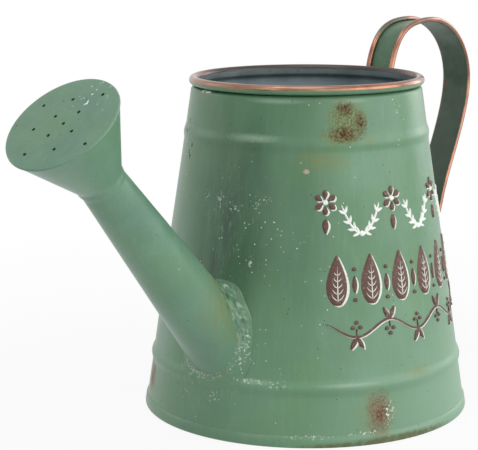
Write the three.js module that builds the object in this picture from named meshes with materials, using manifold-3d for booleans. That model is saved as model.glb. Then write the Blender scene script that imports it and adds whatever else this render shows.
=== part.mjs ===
// A sheet-metal watering can: a tapered tank with a wired rim and a hemmed base,
// a soldered spout with a perforated rose, and a strap handle with wired edges.
// Millimetres, +Z up. The origin is on the ground, on the axis of the tank.
// The spout points along -X and the handle along +X.

import * as THREE from 'three';
import { mergeVertices } from 'three/addons/utils/BufferGeometryUtils.js';
import Module from 'manifold-3d';

const wasm = await Module();
wasm.setup();

// Sheet metal
const SHEET = 0.6; // thickness of every sheet
const GAP = 0.3; // clearance between pieces that touch or are soldered

// Tank
const BODY_HEIGHT = 200; // ground to the top of the rim
const BASE_RADIUS = 97.4; // outside of the wall, carried down to the ground
const RIM_RADIUS = 67.3; // tank axis to the middle of the rim wire
const RIM_WIRE_RADIUS = 1.75;
const RIM_CURL_END = -120; // degrees, where the edge of the curl stops
const SHOULDER_OVERHANG = 1.5; // the shoulder stands this much outside the rim wire's middle
const SHOULDER_DROP = 5.6; // from the rim wire down to the shoulder
const SHOULDER_BEND = 2.4; // radius of the shoulder
const NECK_BEND = 0.9; // radius of the corner between the shoulder and the neck
const UPPER_BEAD_DROP = 24.1; // from the shoulder down to the crest of the upper bead
const UPPER_BEAD_HALF = 5.2; // half of its width
const UPPER_BEAD_PROUD = 0.75;
const LOWER_BEAD_HEIGHT = 32.6; // ground to the crest of the lower bead
const LOWER_BEAD_HALF = 5.4;
const LOWER_BEAD_PROUD = 1.3;

// Base pan, folded up round the foot of the wall
const BASE_RECESS = 2; // ground to the underside of the base
const BASE_BEND = 1; // radius where the base turns down into the foot
const HEM_HEIGHT = 5.5; // ground to the top of the outer lip
const FOOT_STEPS = 5; // an odd number, so that one flat facet of the fold stands on the ground

// Spout
const SPOUT_ROOT_HEIGHT = 59.6; // where the axis of the spout meets the wall
const SPOUT_ANGLE = 47.5; // degrees above level
const SPOUT_LENGTH = 136.8; // along the axis, from the wall to the neck
const SPOUT_ROOT_RADIUS = 20;
const SPOUT_TIP_RADIUS = 12.7;
const SPOUT_TIP_LAP = 1.5; // how far the tip reaches into the rose
const DRAIN_MARGIN = 1.6; // the hole in the wall is this much smaller than the bore
const ROOT_SOLDER_RADIUS = 3.6;

// Rose
const ROSE_ANGLE = 50.4; // degrees above level
const ROSE_LENGTH = 40.2; // neck to face
const ROSE_RADIUS = 32.1;
const ROSE_SLEEVE = 3; // length that laps over the spout
const ROSE_SLEEVE_SLACK = 0.5; // radial room for the small angle between spout and rose
const FACE_DOME = 0.8;
const FACE_FLANGE = 4; // depth of the flange inside the cone
const FACE_CORNER = 0.9; // round of the face's edge
const SPRAY_HOLE_RADIUS = 1;
const SPRAY_CENTRE = { x: -0.7, y: -2.1 }; // middle of the pattern on the face
const SPRAY_RINGS = [
  { radius: 9.6, start: 64, holes: 4 },
  { radius: 17.7, start: 109, holes: 3 }, // the fourth was never punched
  { radius: 24.6, start: 64, holes: 4 },
];
const SPRAY_HOLE_SPACING = 90; // degrees between the holes of a ring

// Handle: a strap whose edges are rolled over wires
const EDGE_WIRE_RADIUS = 0.8;
const EDGE_ROLL_OFFSET = 8.6; // middle of the strap to the middle of an edge wire
const EDGE_ROLL_END = 195; // degrees, where the edge of a roll stops
const HANDLE_RIM_CLEARANCE = 7.8; // rim to the handle, level with the rim
const HANDLE_RISE = 26.6; // top of the handle above the rim
const HANDLE_CROWN_REACH = 44; // from where it passes the rim out to its top
const HANDLE_GRIP_REACH = 93.9; // and out to its furthest point
const HANDLE_GRIP_HEIGHT = 184; // ground to its furthest point
const HANDLE_HEEL_REACH = 62.1; // and out to the bottom of the straight leg
const HANDLE_HEEL_HEIGHT = 105;
const HANDLE_LEG_ANGLE = 17.5; // degrees from upright
const HANDLE_RISE_ANGLE = 17; // degrees from upright, where it passes the rim
// How long each place on the handle holds its direction, as a share of the next bend's span
const HANDLE_HOLD = { foot: 0.2, heel: 0.6, leg: 0.29, grip: 0.34, crown: 0.44, rise: 0.46, tab: 0.3 };
const UPPER_TAB_LENGTH = 24; // below the crest of the upper bead
const UPPER_ROLL_START = 10.5; // the rolls stop this far above the crest of that bead
const LOWER_TAB_START = 2.6; // above the top of the lower bead
const LOWER_TAB_LENGTH = 17;

// Rivets
const RIVET_SHANK_RADIUS = 1.6;
const RIVET_HEAD_RADIUS = 3.2;
const RIVET_HEAD_HEIGHT = 1.5;
const RIVET_SPACING = 8.5;
const RIVET_END_DISTANCE = 4.6; // end of a tab to its nearest rivet

// Fineness of the faceted solids
const TANK_SIDES = 40;
const SPOUT_SIDES = 28;
const ROSE_SIDES = 32;
const WIRE_SIDES = 8;
const RIVET_SIDES = 8;
const BEAD_STEPS = 4;
const HANDLE_STEPS = 38;
const SOLDER_STEPS = 12;

// Worked out from the sizes above
const EPSILON = 1e-4;
const TANK_TOOL_MARGIN = 20; // the tools that cut reach this far past what they cut
const CURL_RADIUS = RIM_WIRE_RADIUS + GAP + SHEET / 2;
const RIM_HEIGHT = BODY_HEIGHT - CURL_RADIUS - SHEET / 2;
const SHOULDER_HEIGHT = RIM_HEIGHT - SHOULDER_DROP;
const SHOULDER_RADIUS = RIM_RADIUS + SHOULDER_OVERHANG;
const WALL_SLOPE = (BASE_RADIUS - SHOULDER_RADIUS) / SHOULDER_HEIGHT;
const WALL_LEAN = Math.atan(WALL_SLOPE);
const UPPER_BEAD_HEIGHT = SHOULDER_HEIGHT - UPPER_BEAD_DROP;
const FOOT_RADIUS = SHEET / 2 + GAP + SHEET / 2; // of the fold under the wall
const WALL_BOTTOM = SHEET + GAP + SHEET / 2;
const ROLL_RADIUS = EDGE_WIRE_RADIUS + GAP + SHEET / 2;

const radians = THREE.MathUtils.degToRad;
const vec2 = (x, y) => new THREE.Vector2(x, y);
const vec3 = (x, y, z) => new THREE.Vector3(x, y, z);

// A direction in the plane of the spout and handle, from its angle above level.
function outward(degrees, side) {
  return vec3(side * Math.cos(radians(degrees)), 0, Math.sin(radians(degrees)));
}

// A rounded swelling that is 1 at its crest and 0 at both ends.
function swelling(height, crest, half) {
  const across = Math.min(Math.abs(height - crest) / half, 1);
  return (1 + Math.cos(Math.PI * across)) / 2;
}

// Outside radius of the tank's wall at a height, beads included.
function wallRadius(height) {
  const cone = BASE_RADIUS - WALL_SLOPE * height;
  const upper = UPPER_BEAD_PROUD * swelling(height, UPPER_BEAD_HEIGHT, UPPER_BEAD_HALF);
  const lower = LOWER_BEAD_PROUD * swelling(height, LOWER_BEAD_HEIGHT, LOWER_BEAD_HALF);
  return cone + upper + lower;
}

function beadHeights(crest, half) {
  const heights = [];
  for (let i = 0; i <= BEAD_STEPS; i += 1) {
    heights.push(crest + half * ((2 * i) / BEAD_STEPS - 1));
  }
  return heights;
}

function arc(x, y, radius, from, to, steps) {
  const points = [];
  for (let i = 0; i <= steps; i += 1) {
    const angle = from + ((to - from) * i) / steps;
    points.push(vec2(x + radius * Math.cos(angle), y + radius * Math.sin(angle)));
  }
  return points;
}

// The outline of a bent sheet: its middle line, moved half a thickness to each side.
function sheetOutline(middle, thickness) {
  const right = [];
  const left = [];
  middle.forEach((point, i) => {
    const next = middle[Math.min(i + 1, middle.length - 1)];
    const last = middle[Math.max(i - 1, 0)];
    const after = next.clone().sub(point);
    const before = point.clone().sub(last);
    const ahead = (after.length() ? after : before).clone().normalize();
    const behind = (before.length() ? before : after).clone().normalize();
    const along = ahead.clone().add(behind).normalize();
    const reach = thickness / 2 / along.dot(ahead);
    right.push(point.clone().add(vec2(along.y, -along.x).multiplyScalar(reach)));
    left.unshift(point.clone().add(vec2(-along.y, along.x).multiplyScalar(reach)));
  });
  return [...right, ...left];
}

// Turns an outline (radius, height) about Z.
function turned(outline, sides) {
  const onAxis = Math.abs(outline[0].x) < EPSILON;
  const points = onAxis ? outline : [...outline, outline[0].clone()];
  const geometry = new THREE.LatheGeometry(points, sides);
  geometry.rotateX(Math.PI / 2);
  return geometry;
}

function swept(outline, path, steps) {
  const shape = new THREE.Shape(outline);
  return new THREE.ExtrudeGeometry(shape, { extrudePath: path, steps, bevelEnabled: false });
}

function circle(x, y, radius, sides) {
  return arc(x, y, radius, 0, 2 * Math.PI, sides).slice(0, -1);
}

// A solid that manifold-3d can join or cut, from a closed three.js geometry.
function toSolid(geometry) {
  const loose = geometry.index ? geometry.toNonIndexed() : geometry.clone();
  loose.deleteAttribute('normal');
  loose.deleteAttribute('uv');
  const merged = mergeVertices(loose, EPSILON);
  const corners = merged.index.array;
  const faces = [];
  for (let i = 0; i < corners.length; i += 3) {
    const [a, b, c] = corners.slice(i, i + 3);
    if (a !== b && b !== c && c !== a) {
      faces.push(a, b, c);
    }
  }
  const mesh = new wasm.Mesh({
    numProp: 3,
    vertProperties: new Float32Array(merged.attributes.position.array),
    triVerts: new Uint32Array(faces),
  });
  return new wasm.Manifold(mesh);
}

function toGeometry(solid) {
  const mesh = solid.getMesh();
  const geometry = new THREE.BufferGeometry();
  geometry.setAttribute('position', new THREE.BufferAttribute(mesh.vertProperties, 3));
  geometry.setIndex(new THREE.BufferAttribute(mesh.triVerts, 1));
  return geometry;
}

function cut(geometry, tools) {
  const solid = tools.reduce((left, tool) => left.subtract(toSolid(tool)), toSolid(geometry));
  return toGeometry(solid);
}

function piece(name, geometry, color, roughness, metalness) {
  const material = new THREE.MeshStandardMaterial({ color, roughness, metalness });
  const mesh = new THREE.Mesh(geometry, material);
  mesh.name = name;
  return mesh;
}

const painted = (name, geometry) => piece(name, geometry, 0x5f8a6c, 0.5, 0.1);
const bareSteel = (name, geometry) => piece(name, geometry, 0x8b8f8e, 0.45, 0.9);
const solder = (name, geometry) => piece(name, geometry, 0x6c8f76, 0.6, 0.3);

// Tank

// Middle line of the wall, from the foot up to the shoulder, the neck and the rim's curl.
function wallMiddle() {
  const inset = SHEET / 2 / Math.cos(WALL_LEAN);
  const heights = [
    WALL_BOTTOM,
    ...beadHeights(LOWER_BEAD_HEIGHT, LOWER_BEAD_HALF),
    ...beadHeights(UPPER_BEAD_HEIGHT, UPPER_BEAD_HALF),
  ];
  const wall = heights.map((height) => vec2(wallRadius(height) - inset, height));

  const bendX = SHOULDER_RADIUS - inset - SHOULDER_BEND * Math.cos(WALL_LEAN);
  const bendZ = SHOULDER_HEIGHT - SHOULDER_BEND * Math.sin(WALL_LEAN);
  const flat = radians(80);
  const shoulder = arc(bendX, bendZ, SHOULDER_BEND, WALL_LEAN, flat, 3);

  const neckX = RIM_RADIUS - CURL_RADIUS;
  const top = shoulder[shoulder.length - 1];
  const cornerX = neckX + NECK_BEND;
  const footX = cornerX - NECK_BEND * Math.cos(flat);
  const footZ = top.y + (top.x - footX) / Math.tan(flat);
  const cornerZ = footZ + NECK_BEND * Math.sin(flat);
  const neck = arc(cornerX, cornerZ, NECK_BEND, Math.PI + flat, Math.PI, 2);

  const curl = arc(RIM_RADIUS, RIM_HEIGHT, CURL_RADIUS, Math.PI, radians(RIM_CURL_END), 7);
  return [...wall, ...shoulder, ...neck, ...curl];
}

// The space that the tank takes up, grown by a clearance, as one solid block.
function tankEnvelope(clearance) {
  const inset = SHEET / Math.cos(WALL_LEAN);
  const outside = wallMiddle()
    .slice(0, 1 + 2 * (BEAD_STEPS + 1) + 4)
    .map((point) => vec2(point.x + inset / 2 + clearance, point.y));
  const low = -TANK_TOOL_MARGIN;
  const high = BODY_HEIGHT + TANK_TOOL_MARGIN;
  const last = outside[outside.length - 1];
  return turned(
    [vec2(0, low), vec2(wallRadius(low) + clearance, low), ...outside, vec2(last.x, high), vec2(0, high)],
    TANK_SIDES,
  );
}

function rimWire() {
  const geometry = new THREE.TorusGeometry(RIM_RADIUS, RIM_WIRE_RADIUS, WIRE_SIDES, TANK_SIDES);
  geometry.translate(0, 0, RIM_HEIGHT);
  return bareSteel('rim_wire', geometry);
}

function bodyShell() {
  const shell = turned(sheetOutline(wallMiddle(), SHEET), TANK_SIDES);
  const holes = RIVETS.map((rivet) => rivetHole(rivet));
  return painted('body_shell', cut(shell, [drainTool(), ...holes]));
}

// The base is recessed, turns down into the foot, and folds up outside the wall as a lip.
function basePan() {
  const height = BASE_RECESS + SHEET / 2;
  const footX = wallRadius(WALL_BOTTOM) - SHEET / 2 / Math.cos(WALL_LEAN);
  const footZ = SHEET / 2 + FOOT_RADIUS * Math.cos(Math.PI / FOOT_STEPS / 2);
  const innerX = footX - FOOT_RADIUS;
  const bend = Math.min(BASE_BEND, height - footZ);
  const lipX = footX + FOOT_RADIUS - WALL_SLOPE * (HEM_HEIGHT - footZ);
  const middle = [
    vec2(0, height),
    ...arc(innerX - bend, height - bend, bend, Math.PI / 2, 0, 2),
    ...arc(footX, footZ, FOOT_RADIUS, Math.PI, 2 * Math.PI, FOOT_STEPS),
    vec2(lipX, HEM_HEIGHT),
  ];
  return painted('base_pan', turned(sheetOutline(middle, SHEET), TANK_SIDES));
}

// Spout

const SPOUT_DIRECTION = outward(SPOUT_ANGLE, -1);
const SPOUT_ROOT = vec3(-wallRadius(SPOUT_ROOT_HEIGHT), 0, SPOUT_ROOT_HEIGHT);
const SPOUT_NECK = SPOUT_ROOT.clone().addScaledVector(SPOUT_DIRECTION, SPOUT_LENGTH);

// Outside radius of the spout at a distance from its root along its axis.
function spoutRadius(distance) {
  return THREE.MathUtils.lerp(SPOUT_ROOT_RADIUS, SPOUT_TIP_RADIUS, distance / SPOUT_LENGTH);
}

// Moves a geometry that was turned about Z onto the axis of the spout.
function ontoSpout(geometry) {
  geometry.rotateY(radians(SPOUT_ANGLE - 90));
  return geometry.translate(SPOUT_ROOT.x, SPOUT_ROOT.y, SPOUT_ROOT.z);
}

function spoutCone(from, to, change) {
  const outline = [
    vec2(0, from),
    vec2(spoutRadius(from) + change, from),
    vec2(spoutRadius(to) + change, to),
    vec2(0, to),
  ];
  return ontoSpout(turned(outline, SPOUT_SIDES));
}

// How far the oblique end of the spout reaches to each side of its root.
const ROOT_REACH = SPOUT_ROOT_RADIUS * Math.tan(radians(SPOUT_ANGLE) - WALL_LEAN) + TANK_TOOL_MARGIN;

// The hole in the wall that lets the water into the spout.
function drainTool() {
  return spoutCone(-ROOT_REACH, ROOT_REACH, -SHEET - DRAIN_MARGIN);
}

function spoutTube() {
  const end = SPOUT_LENGTH + SPOUT_TIP_LAP;
  const outline = [
    vec2(spoutRadius(-ROOT_REACH), -ROOT_REACH),
    vec2(spoutRadius(end), end),
    vec2(spoutRadius(end) - SHEET, end),
    vec2(spoutRadius(-ROOT_REACH) - SHEET, -ROOT_REACH),
  ];
  const tube = ontoSpout(turned(outline, SPOUT_SIDES));
  return painted('spout_tube', cut(tube, [tankEnvelope(GAP)]));
}

// The corner line where the outside of the spout meets the wall, round from one angle to another.
class RootLine extends THREE.Curve {
  constructor(from, to) {
    super();
    this.from = from;
    this.to = to;
  }

  getPoint(t, target = new THREE.Vector3()) {
    const angle = THREE.MathUtils.lerp(this.from, this.to, t);
    const across = outward(SPOUT_ANGLE + 90, -1).multiplyScalar(Math.cos(angle));
    across.y = Math.sin(angle);
    let low = -ROOT_REACH;
    let high = ROOT_REACH;
    for (let i = 0; i < 30; i += 1) {
      const middle = (low + high) / 2;
      target.copy(SPOUT_ROOT).addScaledVector(SPOUT_DIRECTION, middle);
      target.addScaledVector(across, spoutRadius(middle));
      if (Math.hypot(target.x, target.y) < wallRadius(target.z)) {
        low = middle;
      } else {
        high = middle;
      }
    }
    return target;
  }
}

// A bead of solder fills the corner between the spout and the wall all the way round.
function spoutRootSolder() {
  const section = circle(0, 0, ROOT_SOLDER_RADIUS, WIRE_SIDES);
  const lap = 0.2;
  const halves = [0, Math.PI].map((start) => {
    const line = new RootLine(start - lap, start + Math.PI + lap);
    return toSolid(swept(section, line, SOLDER_STEPS));
  });
  const ring = halves[0].add(halves[1]);
  const inside = toSolid(spoutCone(-2 * ROOT_REACH, 2 * ROOT_REACH, GAP));
  const bead = ring.subtract(inside).subtract(toSolid(tankEnvelope(GAP)));
  return solder('spout_root_solder', toGeometry(bead));
}

// Rose: a cone turned about its own Z, from the neck up to the face

const ROSE_SLEEVE_RADIUS = SPOUT_TIP_RADIUS + ROSE_SLEEVE_SLACK + SHEET;
const ROSE_SLOPE = (ROSE_RADIUS - ROSE_SLEEVE_RADIUS) / (ROSE_LENGTH - SPOUT_TIP_LAP);
const ROSE_SLANT = 1 / Math.cos(Math.atan(ROSE_SLOPE)); // a thickness, measured level
const FACE_FOLD = 2 * SHEET; // the edge of the face is folded double

// Outside radius of the cone at a distance from the neck.
function roseRadius(distance) {
  return ROSE_RADIUS - ROSE_SLOPE * (ROSE_LENGTH - distance);
}

function roseCone() {
  const end = ROSE_LENGTH - FACE_FOLD - GAP;
  const sleeve = ROSE_SLEEVE_RADIUS - SHEET / 2;
  const middle = [
    vec2(sleeve, -ROSE_SLEEVE),
    vec2(sleeve, SPOUT_TIP_LAP),
    vec2(roseRadius(end) - (SHEET / 2) * ROSE_SLANT, end),
  ];
  return painted('rose_cone', turned(sheetOutline(middle, SHEET), ROSE_SIDES));
}

function sprayHoles() {
  const places = [[SPRAY_CENTRE.x, SPRAY_CENTRE.y]];
  for (const ring of SPRAY_RINGS) {
    for (let i = 0; i < ring.holes; i += 1) {
      const angle = radians(ring.start + SPRAY_HOLE_SPACING * i);
      const x = SPRAY_CENTRE.x + ring.radius * Math.sin(angle);
      const y = SPRAY_CENTRE.y - ring.radius * Math.cos(angle);
      places.push([x, y]);
    }
  }
  const length = 2 * (FACE_DOME + FACE_FLANGE);
  return places.map(([x, y]) => {
    const tool = new THREE.CylinderGeometry(SPRAY_HOLE_RADIUS, SPRAY_HOLE_RADIUS, length, WIRE_SIDES);
    tool.rotateX(Math.PI / 2);
    return tool.translate(x, y, ROSE_LENGTH);
  });
}

// The face is slightly domed. Its edge covers the end of the cone, and a flange goes down inside.
function roseFace() {
  const under = ROSE_LENGTH - FACE_FOLD;
  const flangeEnd = under - FACE_FLANGE;
  const flangeRadius = (distance) => roseRadius(distance) - (SHEET + GAP) * ROSE_SLANT;
  const flat = ROSE_RADIUS - FACE_CORNER;
  const domeRadii = [0, 0.4, 0.7].map((share) => share * flat);
  const rise = (radius) => FACE_DOME * (1 - (radius / flat) ** 2);
  const outline = [
    ...domeRadii.map((radius) => vec2(radius, ROSE_LENGTH - SHEET + rise(radius))),
    vec2(flangeRadius(under) - SHEET, under),
    vec2(flangeRadius(flangeEnd) - SHEET, flangeEnd),
    vec2(flangeRadius(flangeEnd), flangeEnd),
    vec2(flangeRadius(under), under),
    vec2(ROSE_RADIUS - GAP, under),
    ...arc(flat, ROSE_LENGTH - FACE_CORNER, FACE_CORNER, 0, Math.PI / 2, 3),
    ...domeRadii.toReversed().map((radius) => vec2(radius, ROSE_LENGTH + rise(radius))),
  ];
  return painted('rose_face', cut(turned(outline, ROSE_SIDES), sprayHoles()));
}

function rose() {
  const group = new THREE.Group();
  group.position.copy(SPOUT_NECK);
  group.rotation.y = radians(ROSE_ANGLE - 90);
  group.add(roseCone(), roseFace());
  return group;
}

// Handle

const RIM_EDGE = RIM_RADIUS + CURL_RADIUS + SHEET / 2;
const HANDLE_X = RIM_EDGE + HANDLE_RIM_CLEARANCE + ROLL_RADIUS + SHEET / 2;
const LOWER_TAB_BOTTOM = LOWER_BEAD_HEIGHT + LOWER_BEAD_HALF + LOWER_TAB_START;
const LOWER_TAB_TOP = LOWER_TAB_BOTTOM + LOWER_TAB_LENGTH;
const UPPER_TAB_BOTTOM = UPPER_BEAD_HEIGHT - UPPER_TAB_LENGTH;

// Distance from the tank's axis to the middle of the strap's sheet on each tab.
// The lower tab lies along the wall, and the upper one leans on the crest of the bead.
function lowerTabX(height) {
  return wallRadius(height) + (GAP + SHEET / 2) / Math.cos(WALL_LEAN);
}

function upperTabX(height) {
  const share = (height - UPPER_TAB_BOTTOM) / UPPER_TAB_LENGTH;
  const wall = THREE.MathUtils.lerp(wallRadius(UPPER_TAB_BOTTOM), wallRadius(UPPER_BEAD_HEIGHT), share);
  return wall + (GAP + SHEET / 2) / Math.cos(WALL_LEAN);
}

// One bend of the handle, between two places whose directions it keeps.
function bend(from, fromWay, fromHold, to, toWay, toHold) {
  const span = from.distanceTo(to);
  const leaving = from.clone().addScaledVector(fromWay, fromHold * span);
  const arriving = to.clone().addScaledVector(toWay, -toHold * span);
  return new THREE.CubicBezierCurve3(from, leaving, arriving, to);
}

// The line of the edge wires. The strap lies one roll radius inside it, so on the upper tab
// the line is nearer the tank than the strap, and on the lower tab it is further out.
function handleLine() {
  const top = BODY_HEIGHT + HANDLE_RISE;
  const lowerStart = vec3(lowerTabX(LOWER_TAB_BOTTOM) + ROLL_RADIUS, 0, LOWER_TAB_BOTTOM);
  const lowerEnd = vec3(lowerTabX(LOWER_TAB_TOP) + ROLL_RADIUS, 0, LOWER_TAB_TOP);
  const heel = vec3(HANDLE_X + HANDLE_HEEL_REACH, 0, HANDLE_HEEL_HEIGHT);
  const grip = vec3(HANDLE_X + HANDLE_GRIP_REACH, 0, HANDLE_GRIP_HEIGHT);
  const crown = vec3(HANDLE_X + HANDLE_CROWN_REACH, 0, top);
  const rise = vec3(HANDLE_X, 0, BODY_HEIGHT);
  const upperStart = vec3(upperTabX(UPPER_BEAD_HEIGHT) - ROLL_RADIUS, 0, UPPER_BEAD_HEIGHT);
  const upperEnd = vec3(upperTabX(UPPER_TAB_BOTTOM) - ROLL_RADIUS, 0, UPPER_TAB_BOTTOM);

  const upWall = lowerEnd.clone().sub(lowerStart).normalize();
  const downWall = upperEnd.clone().sub(upperStart).normalize();
  const upLeg = outward(90 - HANDLE_LEG_ANGLE, 1);
  const downRise = outward(90 - HANDLE_RISE_ANGLE, 1).negate();
  const up = vec3(0, 0, 1);
  const back = vec3(-1, 0, 0);
  const hold = HANDLE_HOLD;

  const line = new THREE.CurvePath();
  line.add(new THREE.LineCurve3(lowerStart, lowerEnd));
  line.add(bend(lowerEnd, upWall, hold.foot, heel, upLeg, hold.heel));
  line.add(bend(heel, upLeg, hold.leg, grip, up, hold.leg));
  line.add(bend(grip, up, hold.grip, crown, back, hold.crown));
  line.add(bend(crown, back, hold.crown, rise, downRise, hold.rise));
  line.add(bend(rise, downRise, hold.rise, upperStart, downWall, hold.tab));
  line.add(new THREE.LineCurve3(upperStart, upperEnd));
  return line;
}

// Across the strap: a flat band with each edge rolled outward over its wire.
function strapOutline() {
  const end = radians(EDGE_ROLL_END);
  const roll = arc(EDGE_ROLL_OFFSET, 0, ROLL_RADIUS, -Math.PI / 2, end, 7);
  const mirrored = roll.toReversed().map((point) => vec2(-point.x, point.y));
  return sheetOutline([...mirrored, ...roll], SHEET);
}

// The rolls are cut away where the strap lies against the tank under the rim.
function upperTabRelief() {
  const height = 2 * (UPPER_TAB_LENGTH + UPPER_ROLL_START);
  const width = 4 * ROLL_RADIUS;
  const depth = BASE_RADIUS;
  return [-1, 1].map((side) => {
    const box = new THREE.BoxGeometry(depth, width, height);
    const y = side * (EDGE_ROLL_OFFSET - ROLL_RADIUS - SHEET + width / 2);
    return box.translate(HANDLE_X - depth / 2, y, UPPER_BEAD_HEIGHT + UPPER_ROLL_START - height / 2);
  });
}

function handleStrap() {
  const strap = swept(strapOutline(), handleLine(), HANDLE_STEPS);
  const holes = RIVETS.map((rivet) => rivetHole(rivet));
  return painted('handle_strap', cut(strap, [...upperTabRelief(), ...holes]));
}

function edgeWire(name, side) {
  const section = circle(side * EDGE_ROLL_OFFSET, 0, EDGE_WIRE_RADIUS, WIRE_SIDES);
  const wire = swept(section, handleLine(), HANDLE_STEPS);
  return bareSteel(name, cut(wire, upperTabRelief()));
}

// Rivets: each stands square to the wall, with a head inside the tank and one on the strap

const RIVETS = [
  { name: 'handle_rivet_upper_1', height: UPPER_TAB_BOTTOM + RIVET_END_DISTANCE + RIVET_SPACING },
  { name: 'handle_rivet_upper_2', height: UPPER_TAB_BOTTOM + RIVET_END_DISTANCE },
  { name: 'handle_rivet_lower_1', height: LOWER_TAB_BOTTOM + RIVET_END_DISTANCE + RIVET_SPACING },
  { name: 'handle_rivet_lower_2', height: LOWER_TAB_BOTTOM + RIVET_END_DISTANCE },
];

function strapMiddleX(height) {
  return height > LOWER_TAB_TOP ? upperTabX(height) : lowerTabX(height);
}

// Stands a geometry that was turned about Z on the outside of the wall at a height.
function ontoWall(geometry, height) {
  geometry.rotateY(Math.PI / 2 - WALL_LEAN);
  return geometry.translate(wallRadius(height), 0, height);
}

function rivetHole({ height }) {
  const reach = RIVET_HEAD_RADIUS * 2;
  const radius = RIVET_SHANK_RADIUS + GAP;
  const outline = [vec2(0, -reach), vec2(radius, -reach), vec2(radius, reach), vec2(0, reach)];
  return ontoWall(turned(outline, RIVET_SIDES), height);
}

// The domed top of a rivet's head, from its rim in to its middle.
function rivetDome(seat, way) {
  const curve = (RIVET_HEAD_RADIUS ** 2 + RIVET_HEAD_HEIGHT ** 2) / (2 * RIVET_HEAD_HEIGHT);
  const start = Math.asin(RIVET_HEAD_RADIUS / curve);
  const dome = arc(0, 0, curve, Math.PI / 2 - start, Math.PI / 2, 2);
  const sunk = curve - RIVET_HEAD_HEIGHT;
  return dome.map((point) => vec2(point.x, seat + way * (point.y - sunk)));
}

function rivet({ name, height }) {
  const stand = (strapMiddleX(height) - wallRadius(height)) * Math.cos(WALL_LEAN);
  const inside = -SHEET - GAP;
  const outside = stand + SHEET / 2 + GAP;
  const head = (seat, way) => [vec2(RIVET_SHANK_RADIUS, seat), ...rivetDome(seat, way)];
  const outline = [...head(inside, -1).toReversed(), ...head(outside, 1)];
  return bareSteel(name, ontoWall(turned(outline, RIVET_SIDES), height));
}

const wateringCan = new THREE.Group();
wateringCan.name = 'watering_can';
wateringCan.add(bodyShell(), rimWire(), basePan());
wateringCan.add(spoutTube(), spoutRootSolder(), rose());
wateringCan.add(handleStrap());
wateringCan.add(edgeWire('handle_edge_wire_left', 1), edgeWire('handle_edge_wire_right', -1));
wateringCan.add(...RIVETS.map((each) => rivet(each)));

export default wateringCan;
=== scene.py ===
# %% [markdown]
# # A weathered watering can in painted sheet steel
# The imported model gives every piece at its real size. This notebook dresses it: fine sheet-metal meshes
# take the place of the faceted ones, and each surface gets the finish of the real thing, from satin
# paint with rust and chips to copper rubbed onto the rim. Everything is in metres, in the frame of the
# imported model: the origin is on the ground on the tank's axis, the spout points along -X, the handle
# along +X, and the ornament faces -Y.

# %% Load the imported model
import math

import bmesh
import bpy
from mathutils import Matrix, Vector, noise
from mathutils.geometry import interpolate_bezier


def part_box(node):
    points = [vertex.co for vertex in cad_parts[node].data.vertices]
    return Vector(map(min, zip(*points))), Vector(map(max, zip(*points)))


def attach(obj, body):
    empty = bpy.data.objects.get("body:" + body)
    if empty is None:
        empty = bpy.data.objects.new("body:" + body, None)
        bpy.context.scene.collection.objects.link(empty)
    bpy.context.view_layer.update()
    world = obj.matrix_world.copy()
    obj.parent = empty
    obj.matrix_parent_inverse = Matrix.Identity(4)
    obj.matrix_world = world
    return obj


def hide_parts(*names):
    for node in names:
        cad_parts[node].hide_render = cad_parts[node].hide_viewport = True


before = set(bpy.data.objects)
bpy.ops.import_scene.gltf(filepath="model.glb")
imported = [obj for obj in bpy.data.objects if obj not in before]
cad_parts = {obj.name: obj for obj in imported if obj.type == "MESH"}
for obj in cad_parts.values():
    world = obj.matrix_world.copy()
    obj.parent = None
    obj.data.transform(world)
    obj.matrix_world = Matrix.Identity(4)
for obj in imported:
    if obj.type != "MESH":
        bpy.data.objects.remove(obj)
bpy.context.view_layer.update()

MM = 0.001
print("nodes:", sorted(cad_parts))

# %% [markdown]
# ## Sizes
# A tinsmith works from a few sizes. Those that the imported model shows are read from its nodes, so that
# the fine meshes follow it. The others, such as the depth of a bead, are given here by name.

# %% Tank sizes
SHEET = 0.6 * MM
GAP = 0.3 * MM

wire_low, wire_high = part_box("rim_wire")
RIM_WIRE = (wire_high.z - wire_low.z) / 2
RIM_HEIGHT = (wire_high.z + wire_low.z) / 2
RIM_RADIUS = wire_high.x - RIM_WIRE
CURL_RADIUS = RIM_WIRE + GAP + SHEET / 2

SHOULDER_HEIGHT = RIM_HEIGHT - 5.6 * MM
SHOULDER_RADIUS = RIM_RADIUS + 1.5 * MM
SHOULDER_BEND = 2.4 * MM
NECK_BEND = 0.9 * MM
BASE_RADIUS = 97.4 * MM
WALL_SLOPE = (BASE_RADIUS - SHOULDER_RADIUS) / SHOULDER_HEIGHT
WALL_LEAN = math.atan(WALL_SLOPE)
UPPER_BEAD = {"height": SHOULDER_HEIGHT - 24.1 * MM, "half": 5.2 * MM, "proud": 0.75 * MM}
LOWER_BEAD = {"height": 32.6 * MM, "half": 5.4 * MM, "proud": 1.3 * MM}
WALL_BOTTOM = SHEET + GAP + SHEET / 2
print(f"rim {RIM_RADIUS / MM:.1f} mm, leaning {math.degrees(WALL_LEAN):.1f} degrees")


def swelling(height, bead):
    """How far a bead stands out of the plain wall: most at its crest, fading out to both sides."""
    across = min(abs(height - bead["height"]) / bead["half"], 1)
    return bead["proud"] * (1 + math.cos(math.pi * across)) / 2


def wall_radius(height):
    """Outside radius of the tank's wall at a height."""
    return BASE_RADIUS - WALL_SLOPE * height + swelling(height, UPPER_BEAD) + swelling(height, LOWER_BEAD)


# %% Spout, rose and handle sizes


def at(x, z):
    """A point or a direction in the can's upright middle plane, which runs from the spout to the handle."""
    return Vector((x, 0, z))


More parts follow.
